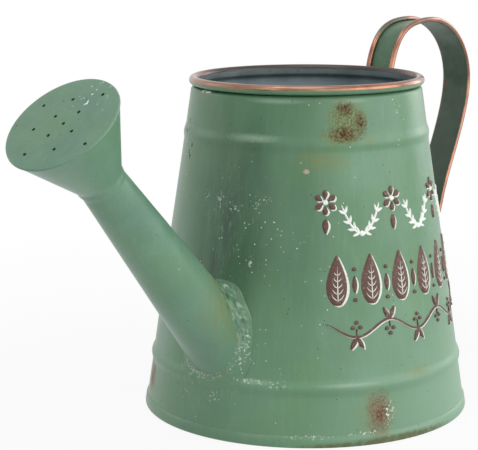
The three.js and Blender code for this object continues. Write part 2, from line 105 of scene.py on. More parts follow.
SPOUT_ANGLE = math.radians(47.5)
SPOUT_LENGTH = 136.8 * MM
SPOUT_ROOT_RADIUS = 20 * MM
SPOUT_TIP_RADIUS = 12.7 * MM
SPOUT_TAPER = (SPOUT_ROOT_RADIUS - SPOUT_TIP_RADIUS) / SPOUT_LENGTH
SPOUT_ROOT_HEIGHT = 59.6 * MM
SPOUT_ROOT = at(-wall_radius(SPOUT_ROOT_HEIGHT), SPOUT_ROOT_HEIGHT)
SPOUT_AXIS = at(-math.cos(SPOUT_ANGLE), math.sin(SPOUT_ANGLE))
NECK = SPOUT_ROOT + SPOUT_AXIS * SPOUT_LENGTH

ROSE_ANGLE = math.radians(50.4)
ROSE_AXIS = at(-math.cos(ROSE_ANGLE), math.sin(ROSE_ANGLE))
ROSE_LENGTH = 40.2 * MM
ROSE_RADIUS = 32.1 * MM

ROLL_OFFSET = 8.6 * MM
EDGE_WIRE = 0.8 * MM
ROLL_RADIUS = EDGE_WIRE + GAP + SHEET / 2
print(f"neck of the spout at {[round(c / MM, 1) for c in NECK]} mm")

# %% [markdown]
# ## Camera
# The can stands a little under a metre from the lens. The camera looks slightly down, so that the rim
# opens to an ellipse, and its long lens keeps the sides of the tank nearly straight.

# %% Camera
LENS, SENSOR = 121.59, 36
CAMERA_PLACE = (-0.7775, -0.5658, 0.2919)
HEADING, LOOKING_DOWN, ROLL = -51.55, 10.79, -0.156

camera_data = bpy.data.cameras.new("camera")
camera_data.sensor_width = SENSOR
camera_data.lens = LENS
camera = bpy.data.objects.new("camera", camera_data)
camera.location = CAMERA_PLACE
heading = Matrix.Rotation(math.radians(HEADING), 3, "Z")
tilt = Matrix.Rotation(math.radians(90 - LOOKING_DOWN), 3, "X")
roll = Matrix.Rotation(math.radians(ROLL), 3, "Z")
camera.rotation_euler = (heading @ tilt @ roll).to_euler()
bpy.context.collection.objects.link(camera)
bpy.context.scene.camera = camera
print("camera at", tuple(camera.location))

# %% [markdown]
# ## Colours and nodes
# Colours are written as sRGB hex values, as a paint card gives them, and one function turns them to the
# linear values that a shader mixes. One more adds a node: it sets the node's own options, and fills or
# links its sockets. A finish is a pair of colour and roughness. Wear is laid over it in coats, each
# where its masks let it show.

# %% Colour and node helpers


def paint_card(code):
    """The linear colour of an sRGB hex value."""
    channels = [int(code[i:i + 2], 16) / 255 for i in (1, 3, 5)]
    linear = [c / 12.92 if c <= 0.04045 else ((c + 0.055) / 1.055) ** 2.4 for c in channels]
    return (*linear, 1.0)


def add(tree, kind, inputs=None, **settings):
    """Adds a node with its settings. A socket, or a node's first output, is linked; other inputs are set."""
    node = tree.nodes.new(kind)
    for name, value in settings.items():
        setattr(node, name, value)
    for name, value in (inputs or {}).items():
        source = value.outputs[0] if isinstance(value, bpy.types.Node) else value
        if isinstance(source, bpy.types.NodeSocket):
            tree.links.new(source, node.inputs[name])
        else:
            node.inputs[name].default_value = source
    return node


def new_material(name):
    """An empty material, its node tree, and the place on the piece that its patterns read."""
    material = bpy.data.materials.new(name)
    material.use_nodes = True
    tree = material.node_tree
    tree.nodes.clear()
    return material, tree, add(tree, "ShaderNodeTexCoord").outputs["Object"]


def combined(tree, masks, operation):
    """Folds several masks into one, two at a time."""
    total = masks[0]
    for mask in masks[1:]:
        total = add(tree, "ShaderNodeMath", {0: total, 1: mask}, operation=operation)
    return total


def where_all(tree, *masks):
    """A mask that is high where all of some masks are. A plain number among them thins the rest."""
    return combined(tree, masks, "MULTIPLY")


def where_any(tree, *masks):
    """A mask that is as high as the highest of some masks."""
    return combined(tree, masks, "MAXIMUM")


def cover(tree, under, masks, colour, roughness):
    """Lays a coat over a finish where all the masks are high."""
    mask = where_all(tree, *masks)
    mixed = add(tree, "ShaderNodeMix", {0: mask, 6: under[0], 7: colour}, data_type="RGBA")
    rough = add(tree, "ShaderNodeMix", {0: mask, 2: under[1], 3: roughness})
    return mixed.outputs[2], rough.outputs[0]


print("mid grey:", [round(c, 3) for c in paint_card("#808080")])

# %% [markdown]
# ## Patterns of wear
# Old paint wears in a few ways: broad fading, small specks where it has flaked, and stains in certain
# places. Each is a mask from 0 to 1. Noise makes the broad changes. A Voronoi texture, cut close round
# its points, makes specks. A placed patch is an ellipse on the unrolled wall with a ragged edge, so the
# wall gets coordinates of its own: the distance round the tank from the front, and the height.

# %% Pattern functions
MEAN_RADIUS = wall_radius(100 * MM)


def wall_place(tree, place):
    """The unrolled wall: distance round the tank from the front (-Y) towards +X, and height."""
    parts = add(tree, "ShaderNodeSeparateXYZ", {0: place})
    front = add(tree, "ShaderNodeMath", {0: parts.outputs["Y"], 1: -1.0}, operation="MULTIPLY")
    angle = add(tree, "ShaderNodeMath", {0: parts.outputs["X"], 1: front}, operation="ARCTAN2")
    round_it = add(tree, "ShaderNodeMath", {0: angle, 1: MEAN_RADIUS}, operation="MULTIPLY")
    return add(tree, "ShaderNodeCombineXYZ", {0: round_it, 1: parts.outputs["Z"]})


def cloud(tree, place, size, low, high, detail=3.0, seed=0.0, stretch=(1, 1, 1)):
    """Soft noise with features of a size in metres, as a mask that rises between two levels."""
    moved = add(tree, "ShaderNodeMapping", {0: place, 1: (seed, seed * 0.7, -seed), 3: stretch})
    field = add(tree, "ShaderNodeTexNoise", {0: moved, "Scale": 1 / size, "Detail": detail})
    return add(tree, "ShaderNodeMapRange", {0: field, 1: low, 2: high})


def specks(tree, place, spacing, radius, share, seed=0.0):
    """Small dots of a radius in metres, in a share of cells that are a spacing apart."""
    moved = add(tree, "ShaderNodeMapping", {0: place, 1: (seed, -seed, seed * 0.3)})
    cells = add(tree, "ShaderNodeTexVoronoi", {0: moved, "Scale": 1 / spacing})
    size = radius / spacing
    dot = add(tree, "ShaderNodeMapRange", {0: cells.outputs["Distance"], 1: size * 1.15, 2: size * 0.75})
    chosen = add(tree, "ShaderNodeSeparateColor", {0: cells.outputs["Color"]})
    kept = add(tree, "ShaderNodeMath", {0: chosen, 1: share}, operation="LESS_THAN")
    return where_all(tree, dot, kept)


print("wall coordinates run", round(2 * math.pi * MEAN_RADIUS / MM), "mm round the tank")

# %% Masks for certain places


def patch(tree, wall, spot, soft, ragged):
    """An ellipse on the unrolled wall: (degrees from the front, height, half width, half height) in mm."""
    degrees, height, half_width, half_height = spot
    centre = (math.radians(degrees) * MEAN_RADIUS, height * MM, 0)
    size = (half_width * MM, half_height * MM, 1)
    moved = add(tree, "ShaderNodeVectorMath", {0: wall, 1: centre}, operation="SUBTRACT")
    scaled = add(tree, "ShaderNodeVectorMath", {0: moved, 1: size}, operation="DIVIDE")
    away = add(tree, "ShaderNodeVectorMath", {0: scaled}, operation="LENGTH")
    edge_size = min(half_width, half_height) * 0.6 * MM
    rough = add(tree, "ShaderNodeTexNoise", {0: wall, "Scale": 1 / edge_size, "Detail": 4.0})
    jitter = add(tree, "ShaderNodeMath", {0: rough, 1: 2 * ragged, 2: -ragged}, operation="MULTIPLY_ADD")
    edge = add(tree, "ShaderNodeMath", {0: away.outputs["Value"], 1: jitter}, operation="ADD")
    return add(tree, "ShaderNodeMapRange", {0: edge, 1: 1.0, 2: 1.0 - soft})


def placed(tree, wall, spots, soft, ragged):
    """Several patches as one mask."""
    return where_any(tree, *[patch(tree, wall, spot, soft, ragged) for spot in spots])


def by_distance(tree, place, spot, start, end, low=0.0, high=1.0):
    """A mask that goes from low to high while the distance from a spot goes from start to end."""
    away = add(tree, "ShaderNodeVectorMath", {0: place, 1: spot}, operation="DISTANCE")
    return add(tree, "ShaderNodeMapRange", {0: away.outputs["Value"], 1: start, 2: end, 3: low, 4: high})


print("one degree round the tank is", round(math.radians(1) * MEAN_RADIUS / MM, 2), "mm")

# %% [markdown]
# ## Satin paint on sheet steel
# The can was sprayed with a satin alkyd enamel in sage green and then left outdoors. Enamel is a
# dielectric with an IOR of 1.5, and its satin surface scatters the highlight: roughness 0.3 to 0.4. It
# has faded unevenly, rain has drawn it faintly downwards, grit has knocked pale specks out of it, and
# rust comes through where it is thin. One function builds this paint. Each piece gives it the places of
# its own stains and chips.

# %% Satin sage enamel
SAGE = paint_card("#5d8866")
SAGE_BLUE = paint_card("#688f76")
SAGE_DEEP = paint_card("#56805a")
SAGE_GREY = paint_card("#739a80")
SAGE_WARM = paint_card("#648b58")
SAGE_COOL = paint_card("#567b6c")
OLIVE = paint_card("#7b7f42")
OLIVE_BROWN = paint_card("#55552a")
RUST_BROWN = paint_card("#66451f")
RUST_DARK = paint_card("#35281a")
RUST_RED = paint_card("#81523f")
PRIMER_WHITE = paint_card("#eaf0e6")
PRIMER_PINK = paint_card("#b9a395")
SCRATCH_DARK = paint_card("#2c3a31")
PAINTED_LIGHT_SAGE = paint_card("#7fa388")
PALE_SCUFF_AND_HIGHLIGHT = paint_card("#a9c4ae")
PAINTED_SHADE_GREY = paint_card("#38493f")
PAINTED_SHADE_SAGE = paint_card("#446549")
SHADED_STRAP_GREY = paint_card("#49564a")
DARK_DIRT_AND_SHADE = paint_card("#303b33")

# Blotches of fading: size in mm, where they start and are full, seed, strength, colour, roughness.
BLOTCHES = [
    (45, 0.45, 0.85, 3.1, 1.0, SAGE_GREY, 0.38),
    (70, 0.48, 0.85, 7.7, 1.0, SAGE_DEEP, 0.34),
    (32, 0.50, 0.72, 11.3, 0.5, SAGE_WARM, 0.34),
    (26, 0.52, 0.74, 14.9, 0.5, SAGE_COOL, 0.38),
]


def fresh_sage(tree, place, base=SAGE):
    """The enamel itself, with its uneven fading, before any damage."""
    finish = (base, 0.32)
    for size, low, high, seed, strength, colour, roughness in BLOTCHES:
        blotch = cloud(tree, place, size * MM, low, high, seed=seed)
        finish = cover(tree, finish, [blotch, strength], colour, roughness)
    streaks = cloud(tree, place, 2.6 * MM, 0.5, 0.9, seed=1.3, stretch=(1, 1, 0.06))
    finish = cover(tree, finish, [streaks, 0.5], SAGE_GREY, 0.42)
    mottle = cloud(tree, place, 1.3 * MM, 0.45, 0.75, seed=4.9)
    return cover(tree, finish, [mottle, 0.28], SAGE_DEEP, 0.36)


def add_specks(tree, place, finish, everywhere):
    """Pale flakes and dark pinpricks, a few of each."""
    fine = specks(tree, place, 3.4 * MM, 0.34 * MM, everywhere, seed=2.0)
    crowd = cloud(tree, place, 17 * MM, 0.5, 0.64, seed=6.6, stretch=(1, 1, 0.4))
    dark = specks(tree, place, 3.7 * MM, 0.34 * MM, everywhere * 0.7, seed=5.0)
    finish = cover(tree, finish, [dark], SCRATCH_DARK, 0.6)
    return cover(tree, finish, [fine, crowd], PRIMER_WHITE, 0.5)


def surface(tree, place, finish, depth=0.12 * MM):
    """The shader: finish, with the slight orange peel that sprayed enamel keeps, and waves in the sheet."""
    peel = add(tree, "ShaderNodeTexNoise", {0: place, "Scale": 1 / (3.5 * MM), "Detail": 2.0})
    waves = add(tree, "ShaderNodeTexNoise", {0: place, "Scale": 1 / (28 * MM), "Detail": 1.0})
    low = add(tree, "ShaderNodeBump", {"Height": waves, "Distance": 0.9 * MM, "Strength": 0.5})
    bump = add(tree, "ShaderNodeBump", {"Height": peel, "Distance": depth, "Strength": 0.6, "Normal": low})
    return add(
        tree, "ShaderNodeBsdfPrincipled",
        {"Base Color": finish[0], "Roughness": finish[1], "Normal": bump, "IOR": 1.5},
    )


print("enamel colours ready")

# %% [markdown]
# ### The tank's wall
# The tank carries most of the wear. High on its front, rust has broken through in a speckled brown
# patch, with an olive stain under it. A red-brown run climbs from the foot, and the folded foot itself
# is stained brown. Painted shade darkens the wall behind the spout, and painted highlights lie pale
# along the crests of the beads and the shoulder. Pale flakes gather on the fold, round the spout's
# joint and in a few clusters on the wall. Each mark is a list of patches, given in degrees from the
# front and mm, and one table lays them over the paint in order.

# %% Places of the tank's wear
# Painted shade: dark, streaked patches on the wall behind the spout.
SHADE_BEHIND_SPOUT = [(-86, 128, 33, 66), (-92, 100, 24, 26)]
OLIVE_STAINS = [
    (-50, 160, 14, 7), (-45, 158, 22, 7), (-25, 168, 5, 4), (-114, 192, 5, 6), (-9, 36.5, 13, 4.5),
]
SCUFFED = [(-86, 122, 24, 48), (-84, 62, 22, 30), (-95, 30, 30, 18)]
# Painted highlights: pale bands along the crests of the beads and along the shoulder.
CREST_HIGHLIGHTS = [
    (-77, 35.6, 20, 1.7), (-38, 34.6, 20, 1.5), (-79, 170.6, 21, 3.0), (-68, 191.2, 24, 1.6),
    (-33, 191.2, 14, 1.6),
]
RUST_HAZE = [(-35, 181, 17, 15), (-38, 172, 17, 6)]
RUST_GRIT = [(-35, 181, 16, 14), (-38, 173, 16, 7)]
RUST_PATCHES = [(-28.5, 178.5, 5.5, 8.5), (-36.5, 173, 13, 6), (-36, 187.5, 8, 5)]
RUN_HAZE = [(-28.5, 17, 14, 19)]
FOOT_RUNS = [(-27.5, 17, 8, 16)]
HEM_STAINS = [(-20, 1.4, 40, 3.6), (-38, 1.0, 30, 2.4)]
FOOT_STAINS = [(-130, 20, 9, 12)]
DARK_CHIPS = [(-121, 160, 6, 8), (-127, 172, 5, 6)]
BARE_CHIPS = [(-53.7, 153, 2.1, 1.4)]
PALE_CHIPS = [(-115, 193.6, 2.0, 1.2), (-110, 193.4, 4.5, 0.7)]
DENSE_FLECKS = [
    (-101, 135.5, 3, 4), (-93, 135, 4, 5), (-86, 131, 4, 3), (-75, 134.5, 3, 5), (-71, 136.5, 5, 2.5),
    (-76, 102, 2, 4), (-76, 51.5, 5, 8), (-75, 60, 2, 10), (-79, 46, 7, 4), (-64, 35, 6, 3),
    (-74, 36, 12, 1.6), (-24, 17, 5, 9), (-34, 7, 12, 1.6), (-52, 6.2, 14, 1.4), (-93, 39, 18, 8),
    (-6, 186, 3, 5), (-88, 24, 5, 4),
]
SCATTERED_FLECKS = [(-79, 118, 34, 40), (-27, 182, 14, 16), (-80, 46, 30, 22)]

# A coat of wear: its patches, how soft and how ragged their edges are, its grain, strength, colour and
# roughness. A grain: its size in mm, the levels at which it starts and is full, its detail and seed, and
# how far it is drawn out upright.
# The first coat is painted shade behind the spout.
SHADE_BEHIND_SPOUT_COAT = (SHADE_BEHIND_SPOUT, 0.95, 0.3, (7, 0.2, 0.7, 4, 3.3, 0.15), 0.85, PAINTED_SHADE_GREY, 0.45)
DARK_GRAIN = (1.2, 0.50, 0.56, 4, 12.1, 1)
STAINS = [
    SHADE_BEHIND_SPOUT_COAT,
    (OLIVE_STAINS, 1.0, 0.5, (6, 0.1, 0.6, 3, 0, 1), 0.58, OLIVE, 0.45),
    (SCUFFED, 0.7, 0.5, (1.4, 0.58, 0.68, 4, 21, 0.16), 0.22, PALE_SCUFF_AND_HIGHLIGHT, 0.5),
    # Painted highlights on the crests of the beads and the shoulder.
    (CREST_HIGHLIGHTS, 0.9, 0.4, None, 0.42, PALE_SCUFF_AND_HIGHLIGHT, 0.4),
    (RUST_HAZE, 0.8, 0.4, (4, 0.15, 0.55, 3, 0, 1), 0.72, OLIVE, 0.55),
    (RUST_GRIT, 0.7, 0.5, (1.0, 0.47, 0.55, 4, 2.2, 1), 0.8, OLIVE_BROWN, 0.8),
    (RUST_PATCHES, 0.9, 0.5, (2.2, 0.30, 0.54, 5, 6.2, 1), 1.0, RUST_BROWN, 0.85),
    (RUST_PATCHES, 0.9, 0.5, DARK_GRAIN, 1.0, RUST_DARK, 0.9),
    (RUN_HAZE, 1.0, 0.3, None, 0.55, OLIVE, 0.5),
    (FOOT_RUNS, 0.95, 0.45, (2.4, 0.05, 0.55, 5, 4.4, 0.5), 1.0, RUST_RED, 0.7),
    (FOOT_RUNS, 0.95, 0.45, DARK_GRAIN, 0.7, RUST_DARK, 0.9),
    (HEM_STAINS, 0.5, 0.25, (4, 0.1, 0.5, 3, 0, 1), 0.85, OLIVE_BROWN, 0.6),
    (FOOT_STAINS, 0.9, 0.5, (5, 0.2, 0.6, 3, 0, 1), 1.0, RUST_RED, 0.6),
    (DARK_CHIPS, 0.4, 0.5, (3, 0.55, 0.62, 3, 8.1, 1), 1.0, SCRATCH_DARK, 0.6),
]
CHIPS = [
    (BARE_CHIPS, 0.35, 0.8, None, 1.0, PRIMER_PINK, 0.5),
    (PALE_CHIPS, 0.3, 0.5, None, 1.0, PRIMER_WHITE, 0.5),
]
print("coats of wear on the tank:", len(STAINS) + len(CHIPS))

# %% Tank enamel


def laid(tree, place, wall, finish, coats):
    """Lays coats of wear over a finish, one after another."""
    for spots, soft, ragged, grain, strength, colour, roughness in coats:
        masks = [placed(tree, wall, spots, soft, ragged), strength]
        if grain:
            size, low, high, detail, seed, upright = grain
            masks.append(cloud(tree, place, size * MM, low, high, detail, seed, (1, 1, upright)))
        finish = cover(tree, finish, masks, colour, roughness)
    return finish


def between(tree, round_it, rise_from, rise_to, fall_from, fall_to):
    """A mask round the tank: it rises between two places and falls between two others, all in degrees."""
    stops = [math.radians(degrees) * MEAN_RADIUS for degrees in (rise_from, rise_to, fall_to, fall_from)]
    rise = add(tree, "ShaderNodeMapRange", {0: round_it, 1: stops[0], 2: stops[1]})
    fall = add(tree, "ShaderNodeMapRange", {0: round_it, 1: stops[2], 2: stops[3]})
    return where_all(tree, rise, fall)


def painted_light_and_shade(tree, place, wall, finish):
    """Painted light, paler low down and most on the lit side; painted shade, deeper green, behind the spout.
    """
    height = add(tree, "ShaderNodeSeparateXYZ", {0: place}).outputs["Z"]
    round_it = add(tree, "ShaderNodeSeparateXYZ", {0: wall}).outputs["X"]
    # Painted light: paler towards the foot, most on the side that the key light reaches.
    low = add(tree, "ShaderNodeMapRange", {0: height, 1: 95 * MM, 2: 20 * MM})
    key_lit_side = between(tree, round_it, -55, 15, 60, 150)
    key_lit_share = add(tree, "ShaderNodeMapRange", {0: key_lit_side, 3: 0.2, 4: 1.0})
    finish = cover(tree, finish, [low, key_lit_share], PAINTED_LIGHT_SAGE, 0.45)
    # Painted shade: a deeper green on the upper wall behind the spout, on the side turned from the key light.
    upper = add(tree, "ShaderNodeMapRange", {0: height, 1: 60 * MM, 2: 110 * MM})
    behind_spout = between(tree, round_it, -160, -110, -53, -36)
    return cover(tree, finish, [behind_spout, upper, 0.38], PAINTED_SHADE_SAGE, 0.34)


def flecked(tree, place, wall, finish):
    """Pale flecks where grit has knocked the enamel off: dense in some places and scattered round them."""
    grit = cloud(tree, place, 1.4 * MM, 0.575, 0.615, detail=2.0, seed=9.0)
    crowded = where_all(tree, placed(tree, wall, DENSE_FLECKS, 0.9, 0.6), grit)
    dots = specks(tree, place, 2.9 * MM, 0.42 * MM, 0.5)
    scattered = where_all(tree, placed(tree, wall, SCATTERED_FLECKS, 0.6, 0.7), dots)
    return cover(tree, finish, [where_any(tree, crowded, scattered), 0.8], PRIMER_WHITE, 0.5)


# Satin alkyd enamel, sprayed and weathered: a broad, soft highlight, broken by matt rust and chalky scuffs,
# with painted light low down, painted shade behind the spout and painted highlights on the crests.
TANK_ENAMEL, tree, place = new_material("satin_sage_enamel_weathered")
wall = wall_place(tree, place)
finish = painted_light_and_shade(tree, place, wall, fresh_sage(tree, place))
finish = laid(tree, place, wall, finish, STAINS)
finish = flecked(tree, place, wall, add_specks(tree, place, finish, everywhere=0.3))
shader = surface(tree, place, laid(tree, place, wall, finish, CHIPS))
add(tree, "ShaderNodeOutputMaterial", {0: shader})
print("tank enamel:", len(tree.nodes), "nodes")

# %% [markdown]
# ### The same paint on the other pieces
# The rose's cone has the plain paint. Where solder was heaped by hand it froze in folds, so its paint
# has hollows and ridges that follow the joint, with painted shade in the hollows and painted highlights
# on the ridges and along the solder's outer edge: the solder's own attribute says how far across it a
# point lies, at which angle, and how much was heaped there. Flux ran down and stained the end of the
# spout. The face of the rose is chipped near its top, and hands have left the strap of the handle
# dirty. The strap's inner face, turned to the tank, is painted darker as shade, most low down.

# %% Enamel on the rose's cone
# Satin alkyd enamel, sprayed: a broad, soft highlight with slight orange peel.
ENAMEL, tree, place = new_material("satin_sage_enamel")
shader = surface(tree, place, add_specks(tree, place, fresh_sage(tree, place, SAGE_BLUE), everywhere=0.1))
add(tree, "ShaderNodeOutputMaterial", {0: shader})
print("plain enamel:", len(tree.nodes), "nodes")

# %% Enamel over solder
# Satin enamel over tin solder: rounder and glossier on the ridges, with painted highlights on them, and
# painted shade in the folds.
SOLDER_ENAMEL, tree, place = new_material("sage_enamel_over_hand_solder")
joint = add(tree, "ShaderNodeAttribute", attribute_name="joint_place").outputs["Vector"]
parts = add(tree, "ShaderNodeSeparateXYZ", {0: joint})
across, heap = parts.outputs["X"], parts.outputs["Z"]
wall = wall_place(tree, place)
finish = painted_light_and_shade(tree, place, wall, fresh_sage(tree, place))
# The painted shade behind the spout carries on over the solder.
finish = laid(tree, place, wall, finish, [SHADE_BEHIND_SPOUT_COAT])
by_spout = add(tree, "ShaderNodeMapRange", {0: across, 1: 0.75, 2: 0.15})
finish = cover(tree, finish, [by_spout], *fresh_sage(tree, place, SAGE_BLUE))
finish = flecked(tree, place, wall, finish)
inner = add(tree, "ShaderNodeMapRange", {0: across, 1: 0.85, 2: 0.55})
# Painted shade in the folds of the solder.
shaded_hollows = cloud(tree, joint, 0.15, 0.50, 0.62, seed=2.7, stretch=(1, 0.4, 1))
finish = cover(tree, finish, [shaded_hollows, inner, heap, 0.8], DARK_DIRT_AND_SHADE, 0.4)
# Painted highlights: pale glints on the solder's ridges.
highlighted_ridges = cloud(tree, joint, 0.12, 0.55, 0.63, detail=2.0, seed=5.1, stretch=(1, 0.3, 1))
finish = cover(tree, finish, [highlighted_ridges, inner, heap, 0.9], PALE_SCUFF_AND_HIGHLIGHT, 0.25)
drips = cloud(tree, place, 2.6 * MM, 0.45, 0.65, seed=9.6, stretch=(1, 1, 0.15))
upper = add(tree, "ShaderNodeMapRange", {0: across, 1: 0.55, 2: 0.15})
finish = cover(tree, finish, [drips, upper, 0.6], OLIVE, 0.4)
# Painted highlight: a pale line along the solder's outer edge, where the paint ran.
edge = add(tree, "ShaderNodeMapRange", {0: across, 1: 0.91, 2: 0.95})
broken = cloud(tree, place, 5 * MM, 0.3, 0.6)
finish = cover(tree, finish, [edge, heap, broken, 0.4], PALE_SCUFF_AND_HIGHLIGHT, 0.3)
shader = surface(tree, place, finish, depth=0.3 * MM)
add(tree, "ShaderNodeOutputMaterial", {0: shader})
print("solder enamel:", len(tree.nodes), "nodes")

# %% Flux-stained enamel for the spout
STAINED_AT = SPOUT_ROOT + Vector((-8, -17, 24)) * MM

# Satin enamel that flux has stained: olive runs, hardly rougher than the paint.
SPOUT_ENAMEL, tree, place = new_material("satin_sage_enamel_flux_stained")
finish = add_specks(tree, place, fresh_sage(tree, place, SAGE_BLUE), everywhere=0.1)
stained = by_distance(tree, place, STAINED_AT, 27 * MM, 8 * MM)
drips = cloud(tree, place, 3.2 * MM, 0.32, 0.62, detail=4.0, seed=9.6, stretch=(1, 1, 0.15))
shader = surface(tree, place, cover(tree, finish, [drips, stained, 0.75], OLIVE, 0.42))
add(tree, "ShaderNodeOutputMaterial", {0: shader})
print("spout enamel:", len(tree.nodes), "nodes")

# %% Chipped enamel for the face of the rose
FACE_UP = at(math.sin(ROSE_ANGLE), math.cos(ROSE_ANGLE))
CHIPPED_AT = NECK + ROSE_AXIS * ROSE_LENGTH + FACE_UP * 17 * MM + Vector((0, -7, 0)) * MM

# Satin enamel chipped to its primer: small matt white flakes with sharp edges.
FACE_ENAMEL, tree, place = new_material("satin_sage_enamel_chipped")
finish = add_specks(tree, place, fresh_sage(tree, place, SAGE_BLUE), everywhere=0.12)
chipped = by_distance(tree, place, CHIPPED_AT, 17 * MM, 4 * MM)
flakes = cloud(tree, place, 2.6 * MM, 0.645, 0.675, seed=3.8)
finish = cover(tree, finish, [flakes, chipped], PRIMER_WHITE, 0.5)
bruises = cloud(tree, place, 3.4 * MM, 0.70, 0.76, seed=6.8)
shader = surface(tree, place, cover(tree, finish, [bruises], SCRATCH_DARK, 0.5), depth=0.2 * MM)
add(tree, "ShaderNodeOutputMaterial", {0: shader})
print("face enamel:", len(tree.nodes), "nodes")

# %% Enamel dirty from hands, for the outside of the strap
# Satin enamel with the dirt of hands rubbed in: darker and less shiny where it is held.
STRAP_ENAMEL, tree, place = new_material("satin_sage_enamel_dirty_from_hands")
hand_dirt = cloud(tree, place, 9 * MM, 0.3, 0.7, detail=4.0, seed=1.9)
dirty = add(tree, "ShaderNodeMapRange", {0: hand_dirt, 3: 0.3, 4: 0.6})
finish = cover(tree, fresh_sage(tree, place), [dirty], DARK_DIRT_AND_SHADE, 0.5)
shader = surface(tree, place, add_specks(tree, place, finish, everywhere=0.1))
add(tree, "ShaderNodeOutputMaterial", {0: shader})
print("strap enamel:", len(tree.nodes), "nodes")

# %% [markdown]
# ### Copper rubbed over enamel
# The rim's curl and the rolled edges of the handle were picked out in copper paint and polished by
# hands. It is built as a metal, with its colour as the reflection and a roughness of about 0.25, under
# a thin coat that stands for old lacquer. On the far side of the rim, away from the camera, it is
# painted a dull dark grey-brown as shade. On the handle, the strap's own attribute says where its edges
# are rolled, and noise frays the line where the copper stops. One spot is worn off, and one rusts.

# %% Copper edges
COPPER = paint_card("#9d6c55")
COPPER_PINK = paint_card("#8a6a54")
COPPER_BROWN = paint_card("#6f483a")
COPPER_SHADED = paint_card("#3f3833")
RUSTED_AT = Vector((174, 7.5, 179.5)) * MM
WORN_OFF_AT = Vector((104, 10, 225)) * MM


def copper_shader(tree, place, far_side_shade=None):
    """Copper paint that has browned in places, and is painted a dull grey-brown as shade where a mask is
    high.
    """
    tarnish = cloud(tree, place, 14 * MM, 0.40, 0.70, seed=2.9)
    finish = cover(tree, (COPPER, 0.24), [tarnish], COPPER_BROWN, 0.3)
    handled = cloud(tree, place, 30 * MM, 0.52, 0.70, seed=8.4)
    finish = cover(tree, finish, [handled], COPPER_PINK, 0.32)
    # Painted shade: darker grey-brown where the mask is high.
    if far_side_shade is not None:
        finish = cover(tree, finish, [far_side_shade], COPPER_SHADED, 0.5)
    # Brush marks are about 0.3 mm apart, which is too fine to show, so they are drawn at 1.6 mm.
    grain = add(tree, "ShaderNodeTexNoise", {0: place, "Scale": 1 / (1.6 * MM), "Detail": 2.0})
    bump = add(tree, "ShaderNodeBump", {"Height": grain, "Distance": 0.06 * MM, "Strength": 0.6})
    return add(tree, "ShaderNodeBsdfPrincipled", {
        "Base Color": finish[0], "Roughness": finish[1], "Metallic": 1.0, "Normal": bump,
        "Coat Weight": 0.45, "Coat Roughness": 0.15,
    })


# Grimed enamel, painted darker as shade on the strap's inner face and most low down, that gives way to
# polished copper paint: a warm, bright line along each rolled edge.
HANDLE_ENAMEL, tree, place = new_material("grimy_enamel_painted_shade_copper_edges")
# Painted shade: the strap's inner face, turned to the tank, is darkened all over.
finish = cover(tree, fresh_sage(tree, place, SAGE_DEEP), [0.72], SHADED_STRAP_GREY, 0.45)
grip_dirt = cloud(tree, place, 9 * MM, 0.3, 0.7, detail=4.0, seed=1.9)
finish = cover(tree, finish, [grip_dirt, 0.6], DARK_DIRT_AND_SHADE, 0.5)
rust_spots = cloud(tree, place, 4 * MM, 0.68, 0.74, detail=4.0, seed=5.1)
finish = cover(tree, finish, [rust_spots, 0.7], RUST_BROWN, 0.7)
height = add(tree, "ShaderNodeSeparateXYZ", {0: place}).outputs["Z"]
# Painted shade: darker low down on the strap, near the wall.
shaded_low_leg = add(tree, "ShaderNodeMapRange", {0: height, 1: 210 * MM, 2: 140 * MM})
finish = cover(tree, finish, [shaded_low_leg, 0.6], DARK_DIRT_AND_SHADE, 0.5)
rusted = by_distance(tree, place, RUSTED_AT, 5 * MM, 1.5 * MM)
green = surface(tree, place, cover(tree, finish, [rusted, grip_dirt], RUST_RED, 0.7))
rolled = add(tree, "ShaderNodeAttribute", attribute_name="rolled").outputs["Fac"]
fray = cloud(tree, place, 3 * MM, 0.3, 0.7, seed=7.1)
worn = add(tree, "ShaderNodeMath", {0: fray, 1: 0.3, 2: rolled}, operation="MULTIPLY_ADD")
covered = add(tree, "ShaderNodeMapRange", {0: worn, 1: 0.55, 2: 0.8})
kept = by_distance(tree, place, WORN_OFF_AT, 13 * MM, 22 * MM, 0.25, 1.0)
coppered = where_all(tree, covered, kept)
shader = add(tree, "ShaderNodeMixShader", {0: coppered, 1: green, 2: copper_shader(tree, place)})
add(tree, "ShaderNodeOutputMaterial", {0: shader})
print("handle enamel:", len(tree.nodes), "nodes")

# %% [markdown]
# ### Inside of the tank, and the rim
# Inside, the sheet was never painted: it is galvanised steel that has gone dull. Zinc is a metal, but
# its oxide scatters, so metallic stays at 0.25 and roughness near 0.6. It is blue-grey and paler from a
# little below the shoulder down, and the neck is painted darker as the shade under the curl. The sheet's
# inner face turns over at the rim and becomes the outside of the curl, so one lining material covers
# both: zinc below, copper over the top of the curl, and enamel on the lower half of the curl where the
# spray reached.

# %% Lining
ZINC = paint_card("#97a5aa")
ZINC_DARK = paint_card("#6a777e")
ZINC_DIRT = paint_card("#6f6a58")
ZINC_PALE = paint_card("#bfcbd0")
ZINC_SHADED = paint_card("#3f4b4a")
SHADED_WAY = (0.81, 0.59, 0)
CURL_START = RIM_RADIUS - CURL_RADIUS


